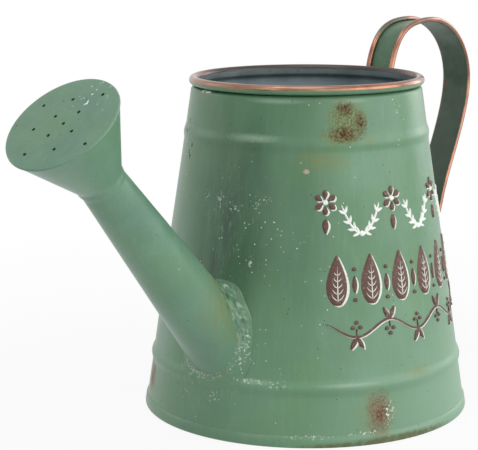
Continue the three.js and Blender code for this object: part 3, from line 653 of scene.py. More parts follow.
def zinc_shader(tree, place):
    """Dull zinc: dark, with clouds and spots of dirt, painted darker in the neck as shade, and pale below the
    shoulder.
    """
    clouds = cloud(tree, place, 22 * MM, 0.35, 0.7, seed=5.5)
    finish = cover(tree, (ZINC_DARK, 0.55), [clouds], ZINC, 0.65)
    finish = cover(tree, finish, [cloud(tree, place, 5 * MM, 0.62, 0.75, seed=1.1)], ZINC_DIRT, 0.7)
    height = add(tree, "ShaderNodeSeparateXYZ", {0: place}).outputs["Z"]
    # Painted shade: the neck under the curl is darkened.
    neck = add(tree, "ShaderNodeMapRange", {0: height, 1: SHOULDER_HEIGHT - 1 * MM, 2: SHOULDER_HEIGHT})
    finish = cover(tree, finish, [neck, 0.5], ZINC_SHADED, 0.7)
    deep = add(tree, "ShaderNodeMapRange", {0: height, 1: SHOULDER_HEIGHT, 2: SHOULDER_HEIGHT - 9 * MM})
    finish = cover(tree, finish, [deep, 0.9], ZINC_PALE, 0.6)
    grain = add(tree, "ShaderNodeTexNoise", {0: place, "Scale": 1 / (4 * MM), "Detail": 2.0})
    bump = add(tree, "ShaderNodeBump", {"Height": grain, "Distance": 0.1 * MM, "Strength": 0.5})
    return add(
        tree, "ShaderNodeBsdfPrincipled",
        {"Base Color": finish[0], "Roughness": finish[1], "Metallic": 0.25, "Normal": bump},
    )


# Hot-dip galvanised steel, dulled: a soft grey sheen without mirror images, under a copper rim.
LINING, tree, place = new_material("dulled_galvanised_steel_and_copper_rim")
green = surface(tree, place, add_specks(tree, place, fresh_sage(tree, place), everywhere=0.03))
parts = add(tree, "ShaderNodeSeparateXYZ", {0: place})
height = parts.outputs["Z"]
flat = add(tree, "ShaderNodeCombineXYZ", {0: parts.outputs["X"], 1: parts.outputs["Y"]})
radius = add(tree, "ShaderNodeVectorMath", {0: flat}, operation="LENGTH").outputs["Value"]
noisy = add(tree, "ShaderNodeTexNoise", {0: place, "Scale": 1 / (6 * MM), "Detail": 3.0})
fray = add(tree, "ShaderNodeMath", {0: noisy, 1: 1.0 * MM, 2: -0.5 * MM}, operation="MULTIPLY_ADD")
frayed_height = add(tree, "ShaderNodeMath", {0: height, 1: fray}, operation="ADD")
top = add(tree, "ShaderNodeMapRange", {0: frayed_height, 1: RIM_HEIGHT - 0.5 * MM, 2: RIM_HEIGHT + 0.3 * MM})
# Painted shade: the copper on the far side of the rim, away from the camera, is darkened.
far_side = add(tree, "ShaderNodeVectorMath", {0: place, 1: SHADED_WAY}, operation="DOT_PRODUCT")
far_side_shade = add(tree, "ShaderNodeMapRange", {0: far_side.outputs["Value"], 1: -5 * MM, 2: 35 * MM})
rim = add(tree, "ShaderNodeMixShader", {0: top, 1: green, 2: copper_shader(tree, place, far_side_shade)})
frayed_radius = add(tree, "ShaderNodeMath", {0: radius, 1: fray}, operation="SUBTRACT")
outside = add(
    tree, "ShaderNodeMapRange", {0: frayed_radius, 1: CURL_START + 0.1 * MM, 2: CURL_START + 0.7 * MM}
)
above = add(tree, "ShaderNodeMapRange", {0: height, 1: RIM_HEIGHT - 4.2 * MM, 2: RIM_HEIGHT - 4.0 * MM})
crest = add(tree, "ShaderNodeMapRange", {0: height, 1: RIM_HEIGHT - 0.2 * MM, 2: RIM_HEIGHT + 0.3 * MM})
curl = where_any(tree, where_all(tree, outside, above), crest)
shader = add(tree, "ShaderNodeMixShader", {0: curl, 1: zinc_shader(tree, place), 2: rim})
add(tree, "ShaderNodeOutputMaterial", {0: shader})
print("lining:", len(tree.nodes), "nodes")

# %% [markdown]
# ### Wire, rivets and raised paint
# The wires are drawn steel, bright where the sheet hides them. Rivet heads are zinc-plated and a little
# duller. The raised ornament is brushed over with brown and cream enamel, thick enough to fill the
# grain below it.

# %% Steel and ornament enamels
STEEL_DULL = paint_card("#6d675c")


def steel(name, colour, roughness):
    """Bare steel that has dulled in places."""
    material, tree, place = new_material(name)
    dull = cloud(tree, place, 2 * MM, 0.4, 0.7)
    finish = cover(tree, (paint_card(colour), roughness), [dull], STEEL_DULL, roughness + 0.15)
    inputs = {"Base Color": finish[0], "Roughness": finish[1], "Metallic": 1.0}
    shader = add(tree, "ShaderNodeBsdfPrincipled", inputs)
    add(tree, "ShaderNodeOutputMaterial", {0: shader})
    return material


def relief_enamel(name, colour, worn, wear):
    """Brushed enamel, rubbed down to a second colour. The more wear, the more of it shows."""
    material, tree, place = new_material(name)
    rubbed = cloud(tree, place, 1.6 * MM, 0.60 - wear, 0.70 - wear, detail=5.0)
    finish = cover(tree, (paint_card(colour), 0.45), [rubbed], paint_card(worn), 0.5)
    shader = surface(tree, place, finish, depth=0.2 * MM)
    add(tree, "ShaderNodeOutputMaterial", {0: shader})
    return material


# Drawn and zinc-plated steel give sharp, grey reflections. Brushed enamel is thicker and less even.
WIRE_STEEL = steel("drawn_steel_wire", "#a9a8a2", 0.3)
RIVET_STEEL = steel("zinc_plated_rivet_steel", "#9a9a94", 0.4)
BROWN = relief_enamel("brown_brushed_enamel", "#57392e", "#7d6a5c", 0.03)
CREAM = relief_enamel("cream_brushed_enamel", "#e9ebe0", "#b9c2b4", 0.0)
WHITE = relief_enamel("white_brushed_enamel", "#f2f5f0", "#cfd8cf", -0.02)
print("steel and relief enamels ready")

# %% [markdown]
# ## How a piece is finished
# A bmesh is the workbench: it starts from a few points and is turned, extruded and bent. When it is
# done it becomes an object that sits at the origin, with its place in its mesh. Sheet metal is modelled
# as a surface along the middle of the sheet, and a Solidify modifier gives it its thickness, so both
# faces stay parallel. The modifier numbers the inner face's material one higher, which is how the
# lining gets inside.

# %% Shape helpers
MERGED = 1e-6


def arc(x, z, radius, start, end, steps):
    """Points of an arc in the profile's plane, angles in degrees."""
    angles = [math.radians(start + (end - start) * i / steps) for i in range(steps + 1)]
    return [at(x + radius * math.cos(a), z + radius * math.sin(a)) for a in angles]


def turn(bm, steps):
    """Spins every edge of a profile round the Z axis into a closed surface."""
    bmesh.ops.spin(
        bm, geom=bm.verts[:] + bm.edges[:], cent=(0, 0, 0), axis=(0, 0, 1), angle=2 * math.pi, steps=steps,
        use_merge=True,
    )
    bmesh.ops.remove_doubles(bm, verts=bm.verts[:], dist=MERGED)


def profile(bm, points):
    """A chain of edges through some points."""
    verts = [bm.verts.new(p) for p in points]
    for first, second in zip(verts, verts[1:]):
        bm.edges.new((first, second))
    return verts


def move(bm, matrix):
    """Moves and turns everything in a bmesh."""
    bmesh.ops.transform(bm, matrix=matrix, verts=bm.verts[:])


def face_away(bm, inside):
    """Makes an open sheet's faces point away from a place inside it."""
    bmesh.ops.recalc_face_normals(bm, faces=bm.faces[:])
    away = sum(f.normal.dot(f.calc_center_median() - inside) * f.calc_area() for f in bm.faces)
    if away < 0:
        bmesh.ops.reverse_faces(bm, faces=bm.faces[:])


print("a quarter arc in four steps:", len(arc(0, 0, 1, 0, 90, 4)), "points")

# %% Piece helpers


def as_object(name, bm, materials=()):
    """Turns a bmesh into an object at the origin."""
    mesh = bpy.data.meshes.new(name)
    bm.to_mesh(mesh)
    bm.free()
    for material in materials:
        mesh.materials.append(material)
    made = bpy.data.objects.new(name, mesh)
    bpy.context.collection.objects.link(made)
    return made


def piece(name, bm, materials, stands_for=(), thickness=0.0, sharp=35, cutters=()):
    """Makes a bmesh a finished piece that rides on the can."""
    piece_object = as_object(name, bm, materials)
    if thickness:
        solidify = piece_object.modifiers.new("thickness", "SOLIDIFY")
        solidify.thickness = thickness
        solidify.offset = 0
        solidify.use_even_offset = True
        solidify.material_offset = 1 if len(materials) > 1 else 0
        solidify.material_offset_rim = 0
    for cutter in cutters:
        hole = piece_object.modifiers.new("hole", "BOOLEAN")
        hole.object = cutter
        hole.operation = "DIFFERENCE"
        hole.solver = "EXACT"
    if thickness or cutters:
        bpy.context.view_layer.update()
        graph = bpy.context.evaluated_depsgraph_get()
        final = bpy.data.meshes.new_from_object(piece_object.evaluated_get(graph))
        piece_object.modifiers.clear()
        piece_object.data = final
        final.name = name
    for cutter in cutters:
        bpy.data.objects.remove(cutter)
    piece_object.data.shade_smooth()
    piece_object.data.set_sharp_from_angle(angle=math.radians(sharp))
    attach(piece_object, "root")
    if stands_for:
        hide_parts(*stands_for)
    print(f"{name}: {len(piece_object.data.polygons)} faces")


print("the sheet is", round(SHEET / MM, 2), "mm thick")

# %% [markdown]
# ## Tank wall
# The wall was rolled from one sheet, beaded on a swage machine, drawn in at the shoulder, and curled
# over a wire. Its profile, from the foot to the end of the curl, is spun once round. Rolled sheet is
# never quite round, so the wall is then moved in and out by up to a third of a millimetre, but not
# where the foot and the rim hold it. A cone cuts the drain hole under the spout.

# %% Profile of the wall
TANK_SIDES = 192
SHOULDER_TURN = 80


def bead_heights(bead):
    """Heights across a bead, close together."""
    return [bead["height"] + bead["half"] * (i / 7 - 1) for i in range(15)]


def plain_heights(low, high, steps):
    """Heights between two beads, wide apart."""
    return [low + (high - low) * i / steps for i in range(1, steps)]


def wall_profile():
    """The middle of the sheet from the foot to the end of the rim's curl."""
    inset = SHEET / 2 / math.cos(WALL_LEAN)
    lower, upper = bead_heights(LOWER_BEAD), bead_heights(UPPER_BEAD)
    heights = [WALL_BOTTOM, *plain_heights(WALL_BOTTOM, lower[0], 6), *lower]
    heights += [*plain_heights(lower[-1], upper[0], 34), *upper]
    heights += plain_heights(upper[-1], SHOULDER_HEIGHT - 1 * MM, 6)
    wall = [at(wall_radius(z) - inset, z) for z in heights]
    bend_x = SHOULDER_RADIUS - inset - SHOULDER_BEND * math.cos(WALL_LEAN)
    bend_z = SHOULDER_HEIGHT - SHOULDER_BEND * math.sin(WALL_LEAN)
    shoulder = arc(bend_x, bend_z, SHOULDER_BEND, math.degrees(WALL_LEAN), SHOULDER_TURN, 8)
    turned = math.radians(SHOULDER_TURN)
    neck_x = CURL_START + NECK_BEND
    foot_x = neck_x - NECK_BEND * math.cos(turned)
    foot_z = shoulder[-1].z + (shoulder[-1].x - foot_x) / math.tan(turned)
    neck_z = foot_z + NECK_BEND * math.sin(turned)
    neck = arc(neck_x, neck_z, NECK_BEND, 180 + SHOULDER_TURN, 180, 4)
    curl = arc(RIM_RADIUS, RIM_HEIGHT, CURL_RADIUS, 180, -120, 22)
    return [*wall, *shoulder, *neck, *curl]


WALL_PROFILE = wall_profile()
print("wall profile:", len(WALL_PROFILE), "points")

# %% Rolled sheet
ROLLING_WAVES = 0.3 * MM


def rolled_out(angle, height):
    """How far a hand-rolled sheet stands out of the true cone, fading out at the foot and the shoulder."""
    from_foot = min(max((height - 12 * MM) / (25 * MM), 0), 1)
    from_shoulder = min(max((SHOULDER_HEIGHT - height) / (20 * MM), 0), 1)
    across = MEAN_RADIUS * Vector((math.sin(angle), -math.cos(angle), 0))
    wave = noise.noise((across + Vector((0, 0, height * 0.55))) / (34 * MM))
    return ROLLING_WAVES * wave * from_foot * from_shoulder


wall = bmesh.new()
profile(wall, WALL_PROFILE)
turn(wall, TANK_SIDES)
for vert in wall.verts:
    x, y, z = vert.co
    vert.co += Vector((x, y, 0)).normalized() * rolled_out(math.atan2(x, -y), z)
face_away(wall, Vector((0, 0, 80 * MM)))
print("wall sheet:", len(wall.faces), "faces")

# %% Drain hole and finished wall


def drain_cutter():
    """The cone that opens the wall into the spout."""
    bm = bmesh.new()
    reach = 45 * MM
    bore = SPOUT_ROOT_RADIUS - SHEET - 1.6 * MM
    widening = SPOUT_TAPER * reach
    bmesh.ops.create_cone(
        bm, cap_ends=True, segments=64, radius1=bore + widening, radius2=bore - widening, depth=2 * reach
    )
    turned = SPOUT_AXIS.to_track_quat("Z", "Y").to_matrix().to_4x4()
    move(bm, Matrix.Translation(SPOUT_ROOT) @ turned)
    return as_object("drain_cutter", bm)


piece(
    "tank_wall", wall, [TANK_ENAMEL, LINING], ["body_shell"],
    thickness=SHEET, cutters=[drain_cutter()],
)

# %% [markdown]
# ## Raised ornament
# The front carries a painted relief of garden motifs in three tiers: white leaf swags between brown
# rosettes, a row of bold brown leaves with cream veins, and a vine with berries. Every motif is made of
# strokes. A stroke starts as a flat grid that is laid along a line on the unrolled wall. Its widths
# shape it, as a stem, a leaf or a berry, its top is rounded, and its edges sink into the wall. Brown
# strokes lie on slightly larger cream ones that show as a light edge below and to the right.

# %% Laying a stroke on the wall
RELIEF = {"ivory": bmesh.new(), "brown": bmesh.new(), "white": bmesh.new()}
SUNK = 0.35 * MM


def on_wall(place, proud):
    """A point on the wall from its place on the unrolled wall in mm, moved out of it."""
    angle, height = place.x * MM / MEAN_RADIUS, place.y * MM
    radius = wall_radius(height) + rolled_out(angle, height) + proud
    return Vector((radius * math.sin(angle), -radius * math.cos(angle), height))


def stroke(colour, line, widths, proud, across=6):
    """Lays a raised stroke along a line of places in mm, with a half width in mm at each of them."""
    bm = RELIEF[colour]
    last = len(line) - 1
    grid = bmesh.ops.create_grid(bm, x_segments=last, y_segments=across, size=1)["verts"]
    for vert in grid:
        index, side = round((vert.co.x + 1) / 2 * last), vert.co.y
        along = (line[min(index + 1, last)] - line[max(index - 1, 0)]).normalized()
        spot = line[index] + Vector((-along.y, along.x)) * side * widths[index]
        rounding = 1 - side ** 4 if widths[index] > 0 else 0
        vert.co = on_wall(spot, proud * rounding - SUNK * (1 - rounding))


print("wall place of the middle:", [round(c / MM, 1) for c in on_wall(Vector((0, 100)), 0)])

# %% Lines, leaves and berries
SHADE = Vector((0.7, -0.6))
BERRY_PROUD = 0.9 * MM


def bowed(start, end, steps, bow=0.0):
    """A curved line between two places. The bow is how far its middle stands to the left, in mm."""
    start, end = Vector(start), Vector(end)
    way = end - start
    left = Vector((-way.y, way.x)).normalized()
    shares = [i / steps for i in range(steps + 1)]
    return [start + way * t + left * bow * 4 * t * (1 - t) for t in shares]


def leaf_widths(steps, width, fullness=0.8):
    """Half widths of a leaf that is broadest near its base and ends in a point."""
    return [width / 2 * math.sin(math.pi * (i / steps) ** fullness) ** 0.85 for i in range(steps)] + [0]


def stem_widths(steps, width):
    """Half widths of a stem with rounded ends."""
    ends = [min(i, steps - i) / steps for i in range(steps + 1)]
    return [width / 2 * math.sqrt(min(1, 12 * share)) for share in ends]


def leaf(colour, start, end, width, steps, proud=0.8 * MM, fullness=0.8):
    """A leaf from its base to its tip."""
    stroke(colour, bowed(start, end, steps), leaf_widths(steps, width, fullness), proud)


def berry(colour, middle, size):
    """A round dot: a short stroke with the widths of a circle."""
    reach = Vector((size / 2, 0))
    line = bowed(Vector(middle) - reach, Vector(middle) + reach, 10)
    widths = [size / 2 * math.sqrt(max(0, 1 - (i / 5 - 1) ** 2)) for i in range(11)]
    stroke(colour, line, widths, BERRY_PROUD)


def edged_leaf(start, end, width, steps=14, fullness=0.8):
    """A brown leaf on its cream edge."""
    shifted = Vector(start) + SHADE, Vector(end) + SHADE
    leaf("ivory", *shifted, width + 0.5, steps, proud=0.55 * MM, fullness=fullness)
    leaf("brown", start, end, width, steps, proud=0.85 * MM, fullness=fullness)


def edged_stem(line, width):
    """A brown stem on its cream edge."""
    steps = len(line) - 1
    stroke("ivory", [p + SHADE for p in line], stem_widths(steps, width), 0.45 * MM)
    stroke("brown", line, stem_widths(steps, width), 0.75 * MM)


def towards(degrees, length):
    """A step on the unrolled wall, from its direction above the horizontal."""
    return Vector((math.cos(math.radians(degrees)), math.sin(math.radians(degrees)))) * length


print("half widths of a leaf:", [round(width, 1) for width in leaf_widths(6, 4.0)])

# %% Swags and rosettes
ROSETTES = [Vector((x, 136)) for x in (-66, -22, 22, 66)]
SWAG_SAG = 17


def rosette(middle):
    """Six petals round a berry, with a bud that hangs below."""
    for petal in range(6):
        way = 90 + 60 * petal
        edged_leaf(middle + towards(way, 1.8), middle + towards(way, 7.2), 4.2, fullness=1.25, steps=10)
    berry("white", middle, 3.4)
    edged_leaf(middle + Vector((0, -9)), middle + Vector((0, -17.5)), 4.6)


def swag(left, right):
    """A hanging garland: a stem that sags between two places, with leaves to both sides."""
    line = bowed(left, right, 44, bow=-SWAG_SAG)
    stroke("white", line, stem_widths(44, 1.5), 0.7 * MM)
    for index in (4, 9, 14, 19, 25, 30, 35, 40):
        way = line[index + 1] - line[index - 1]
        heading = math.degrees(math.atan2(way.y, way.x))
        outward = 180 if index < 22 else 0
        for side in (-40, 40):
            leaf("white", line[index], line[index] + towards(heading + outward + side, 4.8), 2.0, 10)
    berry("white", line[22], 3.6)


for middle in ROSETTES:
    rosette(middle)
for left, right in zip(ROSETTES, ROSETTES[1:]):
    swag(left + Vector((9.5, -1)), right + Vector((-9.5, -1)))
print("top tier:", len(RELIEF["white"].faces), "white faces")

# %% Row of bold leaves
LEAF_FOOT, LEAF_TIP = 78, 107
LEAF_WIDTH = 14.5


def bold_leaf(x):
    """An upright leaf with a cream mid-rib and veins."""
    edged_leaf((x, LEAF_FOOT), (x, LEAF_TIP), LEAF_WIDTH, steps=24, fullness=0.72)
    rib = bowed((x, LEAF_FOOT + 2), (x, LEAF_TIP - 5), 16)
    stroke("ivory", rib, leaf_widths(16, 1.1, 0.6), 1.05 * MM, across=4)
    for level in range(5):
        root = Vector((x, LEAF_FOOT + 3.5 + 3.6 * level))
        length = 5.6 - 0.75 * level
        for way in (48, 132):
            bow = 0.5 if way > 90 else -0.5
            vein = bowed(root, root + towards(way, length), 8, bow)
            stroke("ivory", vein, leaf_widths(8, 0.9, 0.6), 1.0 * MM, across=4)


for x in range(-60, 61, 20):
    bold_leaf(x)
for x in range(-50, 51, 20):
    edged_leaf((x, LEAF_FOOT + 7), (x, LEAF_FOOT + 17), 3.6, fullness=1.0)
    berry("brown", (x, LEAF_FOOT + 20.5), 2.6)
    berry("brown", (x, LEAF_FOOT + 3.5), 2.6)
print("middle tier:", len(RELIEF["brown"].faces), "brown faces")

# %% Vine with berries
VINE_HEIGHT, VINE_SWING, VINE_WAVE = 65, 4.2, 40
VINE_LEAF = 8.0


def vine_place(x):
    """The vine's waving line, at a distance round the tank from the front."""
    return Vector((x, VINE_HEIGHT + VINE_SWING * math.sin(2 * math.pi * x / VINE_WAVE)))


edged_stem([vine_place(-67 + 134 * i / 200) for i in range(201)], 1.5)
for number in range(-3, 4):
    crest = vine_place(20 * number + 10)
    up = 1 if crest.y > VINE_HEIGHT else -1
    for way in (62, 118):
        edged_leaf(crest, crest + towards(way * up, VINE_LEAF), 3.4, steps=12)
    hollow = crest + Vector((0, -6.5 * up))
    for x, y in ((0, -1.6), (-2.1, 1.2), (2.1, 1.2)):
        berry("brown", hollow + Vector((x, y * up)), 2.6)
    twig = bowed(crest + Vector((0, -0.6 * up)), hollow + Vector((0, 1.6 * up)), 8)
    stroke("brown", twig, stem_widths(8, 1.0), 0.7 * MM, across=4)
print("bottom tier:", len(RELIEF["brown"].faces), "brown faces")

# %% Relief pieces
for colour, enamel in (("ivory", CREAM), ("brown", BROWN), ("white", WHITE)):
    bmesh.ops.remove_doubles(RELIEF[colour], verts=RELIEF[colour].verts[:], dist=MERGED)
    face_away(RELIEF[colour], Vector((0, 0, 100 * MM)))
    piece(f"ornament_{colour}", RELIEF[colour], [enamel], sharp=50)

# %% [markdown]
# ## Base
# The base is a disc. It is recessed, turned down inside the foot, folded under the wall, and folded up
# again outside as a narrow lip, which is the band that shows round the foot.

# %% Base pan
RECESS = 2 * MM
LIP_HEIGHT = 5.5 * MM
LIP_TURNED_IN = 1 * MM
BASE_BEND = 0.8 * MM

base_height = RECESS + SHEET / 2
fold = SHEET / 2 + GAP + SHEET / 2
fold_x = wall_radius(WALL_BOTTOM) - SHEET / 2 / math.cos(WALL_LEAN)
fold_z = SHEET / 2 + fold
flat_end = fold_x - fold - BASE_BEND
lip_in = WALL_SLOPE * (LIP_HEIGHT - fold_z)
lip_top = LIP_HEIGHT + LIP_TURNED_IN

base = bmesh.new()
profile(base, [
    *[at(share * flat_end, base_height) for share in (0, 0.3, 0.6, 0.9, 0.97)],
    *arc(flat_end, base_height - BASE_BEND, BASE_BEND, 90, 0, 4),
    *arc(fold_x, fold_z, fold, 180, 360, 14),
    at(fold_x + fold - lip_in / 2, (LIP_HEIGHT + fold_z) / 2),
    at(fold_x + fold - lip_in, LIP_HEIGHT),
    at(wall_radius(lip_top) - 0.2 * MM, lip_top),
])
turn(base, TANK_SIDES)
bmesh.ops.recalc_face_normals(base, faces=base.faces[:])
middle = min(base.faces, key=lambda f: f.calc_center_median().to_2d().length)
if middle.normal.z > 0:
    bmesh.ops.reverse_faces(base, faces=base.faces[:])
piece("base_with_folded_foot", base, [TANK_ENAMEL, LINING], ["base_pan"], thickness=SHEET)

# %% [markdown]
# ## Spout
# The spout is a cone of sheet whose lower end is cut to the tank. A straight generatrix is spun round
# the spout's own axis, and then each point of the root end slides along its own generatrix until it
# meets the wall.

# %% Spout tube
SPOUT_SIDES = 128
SPOUT_STEPS = 24
ACROSS = at(SPOUT_AXIS.z, -SPOUT_AXIS.x)


def on_spout(distance, angle, change=0.0):
    """A point on the outside of the spout: distance up its axis, and angle round it from its upper side."""
    radial = ACROSS * math.cos(angle) + Vector((0, math.sin(angle), 0))
    radius = SPOUT_ROOT_RADIUS - SPOUT_TAPER * distance
    return SPOUT_ROOT + SPOUT_AXIS * distance + radial * (radius + change)


def root_distance(angle, clearance=0.0):
    """Where the spout's generatrix at an angle meets the wall, found by halving."""
    low, high = -60 * MM, 60 * MM
    for _ in range(40):
        middle = (low + high) / 2
        point = on_spout(middle, angle)
        if point.to_2d().length < wall_radius(point.z) + clearance:
            low = middle
        else:
            high = middle
    return high


spout = bmesh.new()
end = SPOUT_LENGTH + 1.0 * MM
profile(spout, [at(1, i / SPOUT_STEPS) for i in range(SPOUT_STEPS + 1)])
turn(spout, SPOUT_SIDES)
for vert in spout.verts:
    angle, share = math.atan2(vert.co.y, vert.co.x), vert.co.z
    start = root_distance(angle, clearance=GAP)
    vert.co = on_spout(start + (end - start) * share, angle, -SHEET / 2)
face_away(spout, SPOUT_ROOT + SPOUT_AXIS * SPOUT_LENGTH / 2)
piece("spout", spout, [SPOUT_ENAMEL, LINING], ["spout_tube"], thickness=SHEET)

# %% [markdown]
# ## Solder at the spout's root
# The joint was filled with solder by hand and painted over. Its section runs down the spout, round the
# corner and out over the wall in a hollow curve, with folds where the solder froze. A ring is turned
# first, and then every point of it is laid onto the joint: its angle gives the place round the spout,
# and its place on the ring's section gives the place across the solder. Every point keeps that place as
# an attribute, which the paint over the solder reads.

# %% Section of the solder
SOLDER_SECTION = 16
SOLDER_SIDES = 220
RING_RADIUS = 3
SOLDER_UP = 5 * MM
SOLDER_OUT = 7 * MM
SOLDER_HEAPED = 21 * MM
SOLDER_FILL = 0.18
SOLDER_FOOT = 0.05 * MM
HEAPED_SIDE = 0.65


def wall_point(point, proud):
    """The nearest point on the outside of the wall, moved outwards by a little."""
    radial = Vector((point.x, point.y, 0)).normalized()
    return radial * (wall_radius(point.z) + proud) + Vector((0, 0, point.z))


def folded(angle):
    """How much solder was heaped up at an angle: most in the upper corner, on the front's side."""
    return max(0, math.cos(angle + HEAPED_SIDE)) ** 2


def solder_point(angle, share):
    """A point across the solder at an angle: its share is 0 up on the spout and 1 out on the wall."""
    corner_distance = root_distance(angle)
    corner = on_spout(corner_distance, angle)
    reach = 1 + 0.35 * noise.noise(Vector((math.cos(angle), math.sin(angle), 0.4)) * 1.7)
    run_up = (SOLDER_UP + SOLDER_HEAPED * folded(angle)) * reach
    high = on_spout(corner_distance + run_up, angle, SOLDER_FOOT)
    radial = ACROSS * math.cos(angle) + Vector((0, math.sin(angle), 0))
    run_out = (SOLDER_OUT + SOLDER_HEAPED * max(0, math.cos(angle + 0.1)) ** 8) * reach
    low = wall_point(corner + (radial - SPOUT_AXIS * 0.55).normalized() * run_out, SOLDER_FOOT)
    bend = corner.lerp((high + low) / 2, SOLDER_FILL * folded(angle))
    first = high.lerp(bend, share)
    second = bend.lerp(low, share)
    point = first.lerp(second, share)
    return max(point, wall_point(point, SOLDER_FOOT), key=lambda place: place.to_2d().length)


print("solder heaped at the top:", round(SOLDER_HEAPED * folded(0) / MM, 1), "mm")

# %% Root solder
solder = bmesh.new()
joint_place = solder.verts.layers.float_vector.new("joint_place")
bmesh.ops.create_circle(solder, segments=SOLDER_SECTION * 2, radius=1)
bmesh.ops.rotate(solder, verts=solder.verts[:], cent=(0, 0, 0), matrix=Matrix.Rotation(math.pi / 2, 3, "X"))
bmesh.ops.translate(solder, verts=solder.verts[:], vec=(RING_RADIUS, 0, 0))
turn(solder, SOLDER_SIDES)
for vert in solder.verts:
    angle = math.atan2(vert.co.y, vert.co.x)
    around = math.atan2(vert.co.z, vert.co.to_2d().length - RING_RADIUS) / math.pi
    share = abs(around)
    point = solder_point(angle, share)
    vert[joint_place] = (share, angle, folded(angle))
    middle = math.sin(math.pi * share)
    inward = (on_spout(root_distance(angle), angle, -1.5 * MM) - point) * 0.35 * middle
    if around > 0:
        fold_noise = noise.noise(Vector((angle * 2.4, share * 5.5, 1.7)))
        fine = noise.noise(point / (2.2 * MM))
        lumpy = 0.4 + 1.1 * folded(angle)
        outward = -inward.normalized() if inward.length else Vector((0, 0, 0))
        vert.co = point + outward * middle * lumpy * (1.1 * fold_noise + 0.8 * fine) * MM
    else:
        vert.co = point + inward
bmesh.ops.recalc_face_normals(solder, faces=solder.faces[:])
piece("spout_solder", solder, [SOLDER_ENAMEL], ["spout_root_solder"], sharp=60)

# %% [markdown]
# ## Rose
# The rose is a cone soldered over the spout's tip and closed by a pressed disc. The disc's edge is
# folded over the cone, its middle is slightly domed, and it has twelve holes, punched from outside in
# rings of four, less one.

# %% Rose cone
ROSE_PLACE = Matrix.Translation(NECK) @ Matrix.Rotation(-(math.pi / 2 - ROSE_ANGLE), 4, "Y")
ROSE_SIDES = 160
SLEEVE_RADIUS = SPOUT_TIP_RADIUS + 0.35 * MM + SHEET / 2
SLEEVE_REACH = 5 * MM
FACE_FOLD = 2 * SHEET

cone = bmesh.new()
cone_end = at(ROSE_RADIUS - 0.45 * MM - SHEET / 2, ROSE_LENGTH - FACE_FOLD + 0.1 * MM)
sleeve_end = SPOUT_TIP_RADIUS + SPOUT_TAPER * SLEEVE_REACH - SHEET * 0.7
sleeve = [at(SLEEVE_RADIUS, z * MM) for z in (-1.8, -0.9, 0)]
sleeve.insert(0, at(sleeve_end, -SLEEVE_REACH))
start = at(SLEEVE_RADIUS + 0.4 * MM, 1.4 * MM)
profile(cone, [*sleeve, *[start.lerp(cone_end, i / 20) for i in range(21)]])
turn(cone, ROSE_SIDES)
face_away(cone, Vector((0, 0, 25 * MM)))
move(cone, ROSE_PLACE)
piece("rose_cone_piece", cone, [ENAMEL, LINING], ["rose_cone"], thickness=SHEET)

# %% Holes of the rose
HOLE_RADIUS = 1.0 * MM
PATTERN_MIDDLE = Vector((-0.7, -2.1, 0)) * MM
HOLE_RINGS = [(9.6 * MM, 64, 4), (17.7 * MM, 109, 3), (24.6 * MM, 64, 4)]


def hole_places():
    """The middle hole, then each ring's: they are a quarter turn apart, and the second ring lacks one."""
    places = [PATTERN_MIDDLE]
    for ring_radius, start_angle, count in HOLE_RINGS:
        for i in range(count):
            angle = math.radians(start_angle + 90 * i)
            places.append(PATTERN_MIDDLE + ring_radius * Vector((math.sin(angle), -math.cos(angle), 0)))
    return places


def punch():
    """All twelve punches as one cutter. They are short, so that they miss the flange inside."""
    bm = bmesh.new()
    for place in hole_places():
        pin = bmesh.ops.create_cone(
            bm, cap_ends=True, segments=24, radius1=HOLE_RADIUS, radius2=HOLE_RADIUS, depth=5 * MM
        )
        bmesh.ops.translate(bm, verts=pin["verts"], vec=place + Vector((0, 0, ROSE_LENGTH)))
    move(bm, ROSE_PLACE)
    return as_object("punch", bm)


print("holes in the rose:", len(hole_places()))

# %% Rose face
FACE_DOME = 0.8 * MM
FACE_CORNER = 0.9 * MM
flat_radius = ROSE_RADIUS - FACE_CORNER
dome = [at(flat_radius * i / 14, ROSE_LENGTH + FACE_DOME * (1 - (i / 14) ** 2)) for i in range(15)]
under = ROSE_LENGTH - FACE_FOLD
lip = [at(ROSE_RADIUS - 0.05 * MM, under + 0.2 * MM), at(ROSE_RADIUS - 0.35 * MM, under)]
flange = [at(ROSE_RADIUS - 2.2 * MM, under), at(ROSE_RADIUS - 4.2 * MM, under - 3.4 * MM)]
inner = [at(ROSE_RADIUS - 4.9 * MM, under - 3.2 * MM), at(ROSE_RADIUS - 3.1 * MM, under)]
underside = [point - Vector((0, 0, SHEET)) for point in reversed(dome[:-2])]
face = bmesh.new()
edge = arc(flat_radius, ROSE_LENGTH - FACE_CORNER, FACE_CORNER, 90, 0, 6)
profile(face, [*dome[:-1], *edge, *lip, *flange, *inner, *underside])
turn(face, ROSE_SIDES)
bmesh.ops.recalc_face_normals(face, faces=face.faces[:])
move(face, ROSE_PLACE)
piece("rose_face_piece", face, [FACE_ENAMEL], ["rose_face"], cutters=[punch()])

# %% [markdown]
# ## Handle
# The handle is a strap whose edges are rolled outwards over wires. Its section, a flat band with a roll
# at each end, is drawn once and then extruded from place to place along the handle's line, turning as
# it goes. The last stretch lies against the tank without rolls, so there only the flat middle of the
# section is extruded. Every point keeps how far round a roll it lies as an attribute, which the copper
# reads.

# %% Handle line
RIM_EDGE = RIM_RADIUS + CURL_RADIUS + SHEET / 2
HANDLE_X = RIM_EDGE + 7.8 * MM + ROLL_RADIUS + SHEET / 2
TAB_INSET = (GAP + SHEET / 2) / math.cos(WALL_LEAN)
LOWER_TAB = (LOWER_BEAD["height"] + LOWER_BEAD["half"] + 2.6 * MM, 17 * MM)
UPPER_TAB = (UPPER_BEAD["height"] - 24 * MM, 24 * MM)
ROLLS_STOP = UPPER_BEAD["height"] + 10.5 * MM


